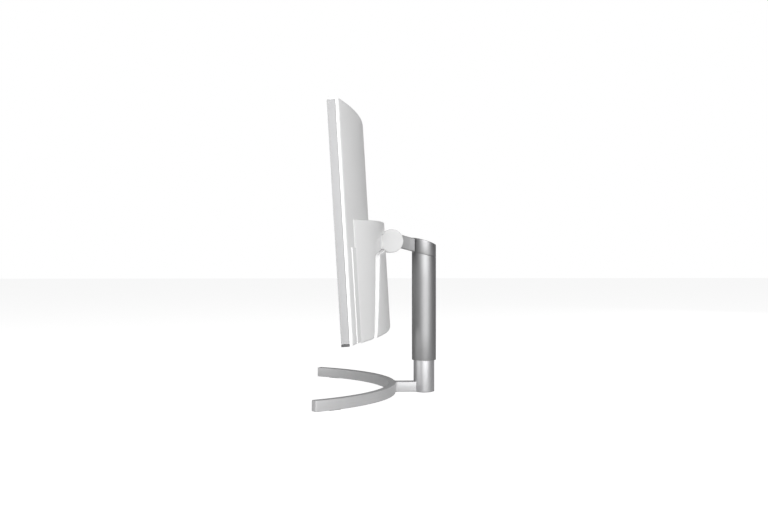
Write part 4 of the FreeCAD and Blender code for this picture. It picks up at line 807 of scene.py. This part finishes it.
class MONITOR_OT_rear_housing(PieceOperator, bpy.types.Operator):
    """The lens-shaped housing, its channel and flange, and the lower cover laid in the channel"""
    bl_idname = "monitor.rear_housing"
    bl_label = "Rear housing"

    def execute(self, context):
        self.housing()
        self.lower_cover()
        return {"FINISHED"}

    def housing(self):
        """The wide housing on the back, with the channel's opening through it."""
        size, whole = housing_sizes(), display_sizes()
        half, tall = size.width / 2, whole.height / 2
        low = -tall - size.drop
        arch = channel_outline(low)
        ring = outline([(-half, low), (-arch[1][0], low)] + self.reversed_arch(arch)
                       + [(half, low), (half, size.top), (-half, size.top)])

        def edge(point):
            if point.y < low + 0.001:
                return size.lower_round
            return size.edge_round

        def base(point):
            return screen_depth(point.x, whole.cover_depth) - 0.0008
        bm = bmesh.new()
        relief(bm, ring, lambda p: housing_depth(p.x), base, edge, warp=fine_taper(low))
        floor = outline(channel_outline(low + 0.0006))
        floor = inward(floor, [-0.0003] * len(floor))
        relief(bm, floor, lambda p: housing_depth(p.x, size.channel), base, lambda p: 0.0002,
               [bay_outline()], warp=fine_taper(low))
        near, far = half - 0.008, size.flange_width / 2
        depth = (whole.cover_depth - 0.0003, whole.cover_depth + size.flange_thick)
        rise = (-tall + 0.0006, -size.flange_top)
        for x in ((-far, -near), (near, far)):
            slab(bm, x, depth, rise, 0.0005, 8)
        finish_piece("rear_housing_piece", bm, "display", finish("white_cover"),
                     ["rear_housing"], in_display=True)

    @staticmethod
    def reversed_arch(arch):
        """The channel's edge from its left foot over to its right foot, as a border of the housing."""
        foot, waist, shoulder = [Vector(point[:2]) for point in arch[1:4]]
        corner, crown = arch[2][2], arch[3][2]
        left_foot, left_waist, left_shoulder = [Vector((-p.x, p.y)) for p in (foot, waist, shoulder)]
        over = arc_between(waist, shoulder, corner)
        over += arc_between(shoulder, left_shoulder, crown)
        over += arc_between(left_shoulder, left_waist, corner)
        points = line_between(left_foot, left_waist) + over[::-1] + line_between(waist, foot)[1:] + [foot]
        return [tuple(point) for point in points]

    def lower_cover(self):
        """The cover in the channel, with its port bay and the wall mount's holes."""
        size, mount = housing_sizes(), WALL_MOUNT
        low = -display_sizes().height / 2 - size.drop
        border = outline(lower_cover_outline(low))

        def edge(point):
            return size.lower_round if point.y < low + 0.001 else size.edge_round
        corners = (-mount["pitch"] / 2, mount["pitch"] / 2)
        holes = [circle(x, -mount["drop"] + z, mount["hole"] / 2) for x in corners for z in corners]
        holes.append(bay_outline())
        bm = bmesh.new()
        relief(bm, border, lambda p: housing_depth(p.x), lambda p: housing_depth(p.x, size.channel - 0.0003),
               edge, holes, warp=fine_taper(low))
        finish_piece("lower_rear_cover_piece", bm, "display", finish("white_cover"),
                     ["lower_rear_cover"], in_display=True)


def bay_outline():
    """The port bay's opening, drawn clockwise as a hole."""
    left, right, bottom, top = -0.178, -0.082, -0.154, -0.084
    return outline([(left, bottom), (left, top), (right, top), (right, bottom)])


class MONITOR_OT_hinge(PieceOperator, bpy.types.Operator):
    """The white neck and cheeks of the hinge, and its two round caps"""
    bl_idname = "monitor.hinge"
    bl_label = "Hinge"

    def execute(self, context):
        stand = stand_sizes()
        centre = Vector((housing_back() + HINGE_BEHIND_HOUSING, -HINGE_DROP))
        root = housing_depth(0, housing_sizes().channel) - NECK_SINK
        outer = stand.hinge_width / 2 - stand.cap_thick
        inner, cap_gap, arm_room, overlap = 0.028, 0.0002, 0.0178, 0.001
        bm = bmesh.new()
        for side in (-1, 1):
            self.cheek(bm, side, inner, outer - cap_gap, centre, root, stand.cap / 2)
            self.flare(bm, side, outer, root, centre)
        low, high, back = centre.y - NECK_REACH, centre.y + NECK_REACH, centre.x - arm_room
        web = [(root, low), (back, low), (back, high), (root, high)]
        sides = (-inner - overlap, inner + overlap)
        rings(bm, [[(x, depth, rise) for depth, rise in web] for x in sides])
        finish_piece("hinge_cover_piece", bm, "display", finish("white_cover"),
                     ["hinge_cover"], in_display=True)
        radius, face = stand.cap / 2, stand.hinge_width / 2
        profile = [(TIP, outer)]
        profile += [(radius - across, outer + down) for across, down in roll(0.0004, 3)[::-1]]
        profile += [(radius - across, face - down) for across, down in roll(0.0016, 8)]
        profile += [(radius * share, face) for share in (0.8, 0.6, 0.3)]
        profile.append((TIP, face))
        for label, side in (("hinge_cap_left", -1), ("hinge_cap_right", 1)):
            bm = bmesh.new()
            along_x = Matrix(((0, 0, side, 0), (side, 0, 0, centre.x), (0, 1, 0, centre.y), (0, 0, 0, 1)))
            turned(bm, profile, along_x)
            # The caps take the greyer white, which is painted shade
            finish_piece(label + "_piece", bm, "display", finish("cap_white_painted_shade"), [label],
                         in_display=True)
        return {"FINISHED"}

    @staticmethod
    def cheek(bm, side, inner, outer, centre, root, radius):
        """A cheek beside the arm: a round end that runs into the housing."""
        start = math.acos(-math.sqrt(1 - (NECK_REACH / radius) ** 2))
        turns = [start - 2 * start * i / 48 for i in range(49)]
        section = [Vector((centre.x + radius * math.cos(t), centre.y + radius * math.sin(t))) for t in turns]
        section += [Vector((root, centre.y - NECK_REACH)), Vector((root, centre.y + NECK_REACH))]
        section = section[::-1]
        edge, part = 0.0006, 0.0002
        rows = []
        for across, shrink in ((inner, edge), (inner + part, part), (inner + edge, 0), (outer - edge, 0),
                               (outer - part, part), (outer, edge)):
            moved = inward(section, [shrink] * len(section))
            rows.append([(side * across, p.x, p.y) for p in moved])
        rings(bm, rows)

    @staticmethod
    def flare(bm, side, outer, root, centre):
        """Where a cheek widens into the channel's floor."""
        width, tall, taper, inside_cheek, edge, corner = 0.013, 0.0085, 0.0004, 0.012, 0.0003, 0.0006
        rows = []
        for i in range(9):
            share = i / 8
            half = NECK_REACH - taper * share
            across = outer + width * (1 - math.sin(share * math.pi / 2)) - edge
            section = ((outer - inside_cheek, -half), (across, -half), (across + edge, -half + corner),
                       (across + edge, half - corner), (across, half), (outer - inside_cheek, half))
            rows.append([(side * x, root + tall * share, centre.y + rise) for x, rise in section])
        rings(bm, rows)


class MONITOR_OT_column(PieceOperator, bpy.types.Operator):
    """Brushed tubes of the column, its head and the arm"""
    bl_idname = "monitor.column"
    bl_label = "Column"

    def execute(self, context):
        self.sleeve()
        self.head()
        self.arm()
        self.post()
        return {"FINISHED"}

    @staticmethod
    def slanted(radius, level, sides=128):
        """A ring of points at a level that may change from front to back."""
        row = []
        for i in range(sides):
            turn = 2 * math.pi * i / sides
            x, y = radius * math.cos(turn), radius * math.sin(turn)
            row.append((x, y, level(y)))
        return row

    @staticmethod
    def seam(y):
        """Height of the slanting seam between the sleeve and the head."""
        size = stand_sizes()
        return size.seam - y * math.tan(size.seam_slope)

    def sleeve(self):
        """The outer tube, open at the bottom and cut at a slant under the head."""
        radius, wall, depth, edge, seam_edge = stand_sizes().sleeve / 2, 0.002, 0.03, 0.0005, 0.0003
        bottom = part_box("sleeve")[0].z
        rows = [self.slanted(radius - wall, lambda y: bottom + depth)]
        rows.append(self.slanted(radius - wall, lambda y: bottom + edge))
        rows += [self.slanted(radius - wall + edge - a, lambda y, d=d: bottom + d) for a, d in roll(edge, 3)]
        rows += [self.slanted(radius - a, lambda y, d=d: bottom + d) for a, d in roll(edge, 3)[::-1]]
        rows += [self.slanted(radius,
                              lambda y, s=share: bottom + edge + (self.seam(y) - bottom - 2 * edge) * s)
                 for share in (0.25, 0.5, 0.75)]
        rows += [self.slanted(radius - a, lambda y, d=d: self.seam(y) - d) for a, d in roll(seam_edge, 3)]
        rows.append(self.slanted(radius - wall, self.seam))
        rows.append(self.slanted(radius - wall, lambda y: bottom + depth))
        bm = bmesh.new()
        rings(bm, rows, False, False)
        finish_piece("sleeve_piece", bm, "column", finish("brushed_silver"), ["sleeve"])

    def head(self):
        """The head, with a top that curves down towards the back."""
        size = stand_sizes()
        radius = size.sleeve / 2
        fall = size.head_front - size.head_back
        chord = math.hypot(size.sleeve, fall)
        drop = math.sqrt(size.head_radius ** 2 - (chord / 2) ** 2)
        centre_y = -drop * fall / chord
        centre_z = (size.head_front + size.head_back) / 2 - drop * size.sleeve / chord

        def crown(y):
            return centre_z + math.sqrt(size.head_radius ** 2 - (y - centre_y) ** 2)
        gap, edge, seam_edge, spigot_inset, spigot = 0.0004, 0.0007, 0.0003, 0.0026, 0.004

        def foot(y):
            return self.seam(y) + gap

        rows = [self.slanted(TIP, lambda y: foot(y) - spigot)]
        rows.append(self.slanted(radius - spigot_inset, lambda y: foot(y) - spigot))
        rows.append(self.slanted(radius - spigot_inset, foot))
        rows += [self.slanted(radius - a, lambda y, d=d: foot(y) + d) for a, d in roll(seam_edge, 3)[::-1]]
        rows += [self.slanted(radius - a, lambda y, d=d: crown(y) - d) for a, d in roll(edge, 5)]
        shares = (0.85, 0.65, 0.45, 0.25, 0.08, 0.005)
        rows += [self.slanted((radius - edge) * share, crown) for share in shares]
        bm = bmesh.new()
        rings(bm, rows)
        finish_piece("column_head_piece", bm, "column", finish("cast_silver"),
                     ["column_head"])

    def arm(self):
        """The sloping arm, with a knuckle round the hinge's shaft."""
        size = stand_sizes()
        slope, lift = size.arm_slope, size.arm_lift
        half_height = size.arm_height / 2 / math.cos(slope)
        knuckle, bore, knuckle_edge = 0.0155, 0.0071, 0.0012
        wide, narrow, corner = 0.027, size.arm_width / 2, 0.0022
        shoulder, sink = 0.009, 0.004
        start, waist, end = HINGE.y, -size.sleeve / 2 - sink, -size.sleeve / 2 + sink

        def middle(y):
            return HINGE.z + lift / math.cos(slope) - (y - HINGE.y) * math.tan(slope)

        def half_width(y):
            flat = start + knuckle
            if y <= flat:
                return wide
            share = min(1.0, (y - flat) / (waist - flat))
            return wide + (narrow - wide) * share
        bm = bmesh.new()
        rows = []
        for i in range(25):
            y = start + (end - start) * i / 24
            half = half_width(y)
            top = half_height
            if y < start + shoulder:
                top = min(half_height, knuckle + HINGE.z - middle(y))
            row = []
            for sx, sz, turn in ((1, 1, 0), (-1, 1, 90), (-1, -1, 180), (1, -1, 270)):
                for k in range(6):
                    angle = math.radians(turn + 18 * k)
                    height = top if sz > 0 else half_height
                    row.append((sx * (half - corner) + corner * math.cos(angle), y,
                                middle(y) + sz * (height - corner) + corner * math.sin(angle)))
            rows.append(row)
        rings(bm, rows)
        along_x = Matrix(((0, 0, 1, 0), (1, 0, 0, HINGE.y), (0, 1, 0, HINGE.z), (0, 0, 0, 1)))
        profile = [(bore, -wide)] + [(knuckle - a, -wide + d) for a, d in roll(knuckle_edge)[::-1]]
        profile += [(knuckle - a, wide - d) for a, d in roll(knuckle_edge)] + [(bore, wide)]
        turned(bm, profile, along_x)
        # The arm takes the darker silver, which is painted shade
        finish_piece("arm_piece", bm, "column", finish("arm_silver_painted_shade"), ["arm"])

    @staticmethod
    def post():
        """The inner tube, which the sleeve slides on."""
        low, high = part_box("post")
        radius, wall, edge = stand_sizes().post / 2, 0.003, 0.001
        bm = bmesh.new()
        profile = [(radius - wall, low.z)] + [(radius - a, low.z + d) for a, d in roll(edge)[::-1]]
        profile += [(radius, low.z + (high.z - low.z) * share) for share in (0.25, 0.5, 0.75)]
        profile += [(radius, high.z), (radius - wall, high.z)]
        turned(bm, profile, Matrix.Identity(4), 128)
        # The post takes the lighter brushed metal, which is painted light
        finish_piece("post_piece", bm, "base", finish("post_silver_painted_light"), ["post"])


class MONITOR_OT_foot(PieceOperator, bpy.types.Operator):
    """The crescent foot and the bar that joins it to the post"""
    bl_idname = "monitor.foot"
    bl_label = "Foot"

    def execute(self, context):
        size = stand_sizes()
        low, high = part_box("base_arc")
        centre = high.y - size.arc_radius
        edge, steps = 0.0009, 160
        section = self.section(size.arc_thick, low.z, high.z, edge)
        half = size.arc_angle
        start, end = rounded_ends(-half * size.arc_radius, half * size.arc_radius, edge)
        spots = [(place / size.arc_radius, shrink) for place, shrink in start]
        spots += [(-half + 2 * half * i / steps, 0) for i in range(1, steps)]
        spots += [(place / size.arc_radius, shrink) for place, shrink in end]
        bm = bmesh.new()
        rings(bm, [self.placed(section, size, centre, turn, shrink) for turn, shrink in spots])
        finish_piece("base_arc_piece", bm, "base", finish("painted_silver"), ["base_arc"])
        self.neck(low, high)
        return {"FINISHED"}

    @staticmethod
    def section(thick, low, high, edge):
        """Rounded rectangle of (distance in from the outer edge, height)."""
        points = []
        for along, level, turn in ((edge, high - edge, 90), (edge, low + edge, 180),
                                   (thick - edge, low + edge, 270), (thick - edge, high - edge, 0)):
            for k in range(5):
                angle = math.radians(turn + 22.5 * k)
                points.append((along + edge * math.cos(angle), level + edge * math.sin(angle)))
        return points

    @staticmethod
    def placed(section, size, centre, turn, shrink):
        """The crescent's section at a turn from its middle, narrower by a margin all round."""
        row = []
        middle = (size.arc_thick / 2, sum(point[1] for point in section) / len(section))
        for across, level in section:
            across += math.copysign(shrink, middle[0] - across) if shrink else 0
            level += math.copysign(shrink, middle[1] - level) if shrink else 0
            radius = size.arc_radius - across
            row.append((radius * math.sin(turn), centre + radius * math.cos(turn), level))
        return row

    @staticmethod
    def neck(low, high):
        """The bar from the crescent to the post, with a fillet on both sides where it leaves the crescent."""
        half, fillet, edge, sink = 0.012, 0.005, 0.0006, 0.0005
        middle = Vector((half + fillet, high.y + fillet - sink))
        border = [Vector((half, 0.0))]
        for k in range(9):
            angle = math.radians(180 + 90 * k / 8)
            border.append(middle + fillet * Vector((math.cos(angle), math.sin(angle))))
        border += [Vector((-p.x, p.y)) for p in border[::-1]]
        start, end = rounded_ends(low.z, high.z, edge)
        bm = bmesh.new()
        rows = []
        for level, shrink in start + end:
            moved = inward(border[::-1], [shrink] * len(border))
            rows.append([(p.x, p.y, level) for p in moved])
        rings(bm, rows)
        finish_piece("base_neck_piece", bm, "base", finish("painted_silver"), ["base_neck"])


class MONITOR_OT_stick(PieceOperator, bpy.types.Operator):
    """The knob of the control stick under the display's lower edge"""
    bl_idname = "monitor.stick"
    bl_label = "Control stick"

    def execute(self, context):
        axis = Matrix((ACROSS, BACKWARD, UPWARD)).transposed().to_4x4()
        knob = Matrix.Translation(STICK) @ axis
        top, low, radius = -0.015, -0.020, 0.0075
        dish, low_edge, top_edge, stem = 0.0006, 0.0012, 0.0008, 0.0016
        profile = [(TIP, low + dish), (radius * 0.45, low + dish * 2 / 3), (radius * 0.7, low)]
        profile += [(radius - a, low + d) for a, d in roll(low_edge)[::-1]]
        profile += [(radius - a, top - d) for a, d in roll(top_edge)]
        profile += [(stem, top)]
        bm = bmesh.new()
        turned(bm, profile, knob, 64)
        finish_piece("stick_knob_piece", bm, "stick", finish("black_plastic"),
                     ["stick_knob"])
        return {"FINISHED"}


class MONITOR_OT_studio(PieceOperator, bpy.types.Operator):
    """Pale floor, soft lights and the camera"""
    bl_idname = "monitor.studio"
    bl_label = "Studio"

    def execute(self, context):
        self.floor()
        self.world(context.scene)
        for light in LIGHTS:
            self.light(*light)
        self.camera(context.scene)
        return {"FINISHED"}

    @staticmethod
    def floor():
        """A pale floor that shows nearly white and throws less light than it shows."""
        reach, glow, shown = 9.0, 0.10, 0.72
        bm = bmesh.new()
        bmesh.ops.create_grid(bm, x_segments=8, y_segments=8, size=reach)
        mesh = bpy.data.meshes.new("floor")
        bm.to_mesh(mesh)
        bm.free()
        thing = bpy.data.objects.new("floor", mesh)
        bpy.context.scene.collection.objects.link(thing)
        pale = moulded("pale_floor", (0.55, 0.55, 0.55), 0.95, 300.0, 0.01, bump=0.02, specular=0.0)
        tree = pale.node_tree
        shader = tree.nodes["Principled BSDF"]
        shader.inputs["Emission Color"].default_value = (1, 1, 1, 1)
        seen = tree.nodes.new("ShaderNodeLightPath").outputs["Is Camera Ray"]
        tree.links.new(math_node(tree, "MULTIPLY_ADD", seen, shown, glow), shader.inputs["Emission Strength"])
        mesh.materials.append(pale)

    @staticmethod
    def world(scene):
        """White where the camera sees it, and a dimmer grey where it only lights the object."""
        world = bpy.data.worlds.new("studio")
        world.use_nodes = True
        tree = world.node_tree
        seen, lit = tree.nodes["Background"], tree.nodes.new("ShaderNodeBackground")
        seen.inputs["Color"].default_value = (1, 1, 1, 1)
        lit.inputs["Color"].default_value = (0.20, 0.20, 0.20, 1)
        path, mix = tree.nodes.new("ShaderNodeLightPath"), tree.nodes.new("ShaderNodeMixShader")
        tree.links.new(path.outputs["Is Camera Ray"], mix.inputs["Fac"])
        tree.links.new(lit.outputs[0], mix.inputs[1])
        tree.links.new(seen.outputs[0], mix.inputs[2])
        tree.links.new(mix.outputs[0], tree.nodes["World Output"].inputs["Surface"])
        scene.world = world
        scene.view_settings.view_transform = "Standard"

    @staticmethod
    def light(name, place, target, size, power):
        """A rectangular softbox turned to its target."""
        data = bpy.data.lights.new(name, "AREA")
        data.shape = "RECTANGLE"
        data.size, data.size_y = size
        data.energy = power
        thing = bpy.data.objects.new(name, data)
        bpy.context.scene.collection.objects.link(thing)
        thing.location = place
        thing.rotation_euler = (Vector(target) - Vector(place)).to_track_quat("-Z", "Y").to_euler()

    @staticmethod
    def camera(scene):
        """A level camera on the display's side."""
        data = bpy.data.cameras.new("camera")
        data.lens = 50
        data.sensor_width = 36
        data.clip_end = 60
        thing = bpy.data.objects.new("camera", data)
        scene.collection.objects.link(thing)
        thing.location = CAMERA_PLACE
        forward = Vector((-math.cos(CAMERA_TURN), math.sin(CAMERA_TURN), 0))
        thing.rotation_euler = forward.to_track_quat("-Z", "Y").to_euler()
        scene.camera = thing


PIECES = (MONITOR_OT_carry_over, MONITOR_OT_trims, MONITOR_OT_screen, MONITOR_OT_back_cover,
          MONITOR_OT_rear_housing, MONITOR_OT_hinge, MONITOR_OT_column, MONITOR_OT_foot, MONITOR_OT_stick,
          MONITOR_OT_studio)


class MONITOR_PT_panel(bpy.types.Panel):
    """Sizes, colours and builders of the monitor"""
    bl_label = "Curved monitor"
    bl_idname = "MONITOR_PT_panel"
    bl_space_type = "VIEW_3D"
    bl_region_type = "UI"
    bl_category = "Monitor"

    def draw(self, context):
        scene = context.scene
        groups = (scene.monitor_display, scene.monitor_housing, scene.monitor_stand, scene.monitor_colours)
        for group in groups:
            box = self.layout.box()
            for name in group.__annotations__:
                box.prop(group, name)
        for operator in PIECES:
            self.layout.operator(operator.bl_idname)


GROUPS = {"monitor_display": DisplaySizes, "monitor_housing": HousingSizes, "monitor_stand": StandSizes,
          "monitor_colours": FinishColours}


def register():
    """Add the sizes, colours, builders and panel."""
    for kind in (*GROUPS.values(), *PIECES, MONITOR_PT_panel):
        bpy.utils.register_class(kind)
    for name, kind in GROUPS.items():
        setattr(bpy.types.Scene, name, PointerProperty(type=kind))


def unregister():
    """Take away what register added."""
    for name in GROUPS:
        delattr(bpy.types.Scene, name)
    for kind in reversed((*GROUPS.values(), *PIECES, MONITOR_PT_panel)):
        bpy.utils.unregister_class(kind)


def main():
    register()
    for operator in PIECES:
        group, name = operator.bl_idname.split(".")
        getattr(getattr(bpy.ops, group), name)()


if __name__ == "__main__":
    main()
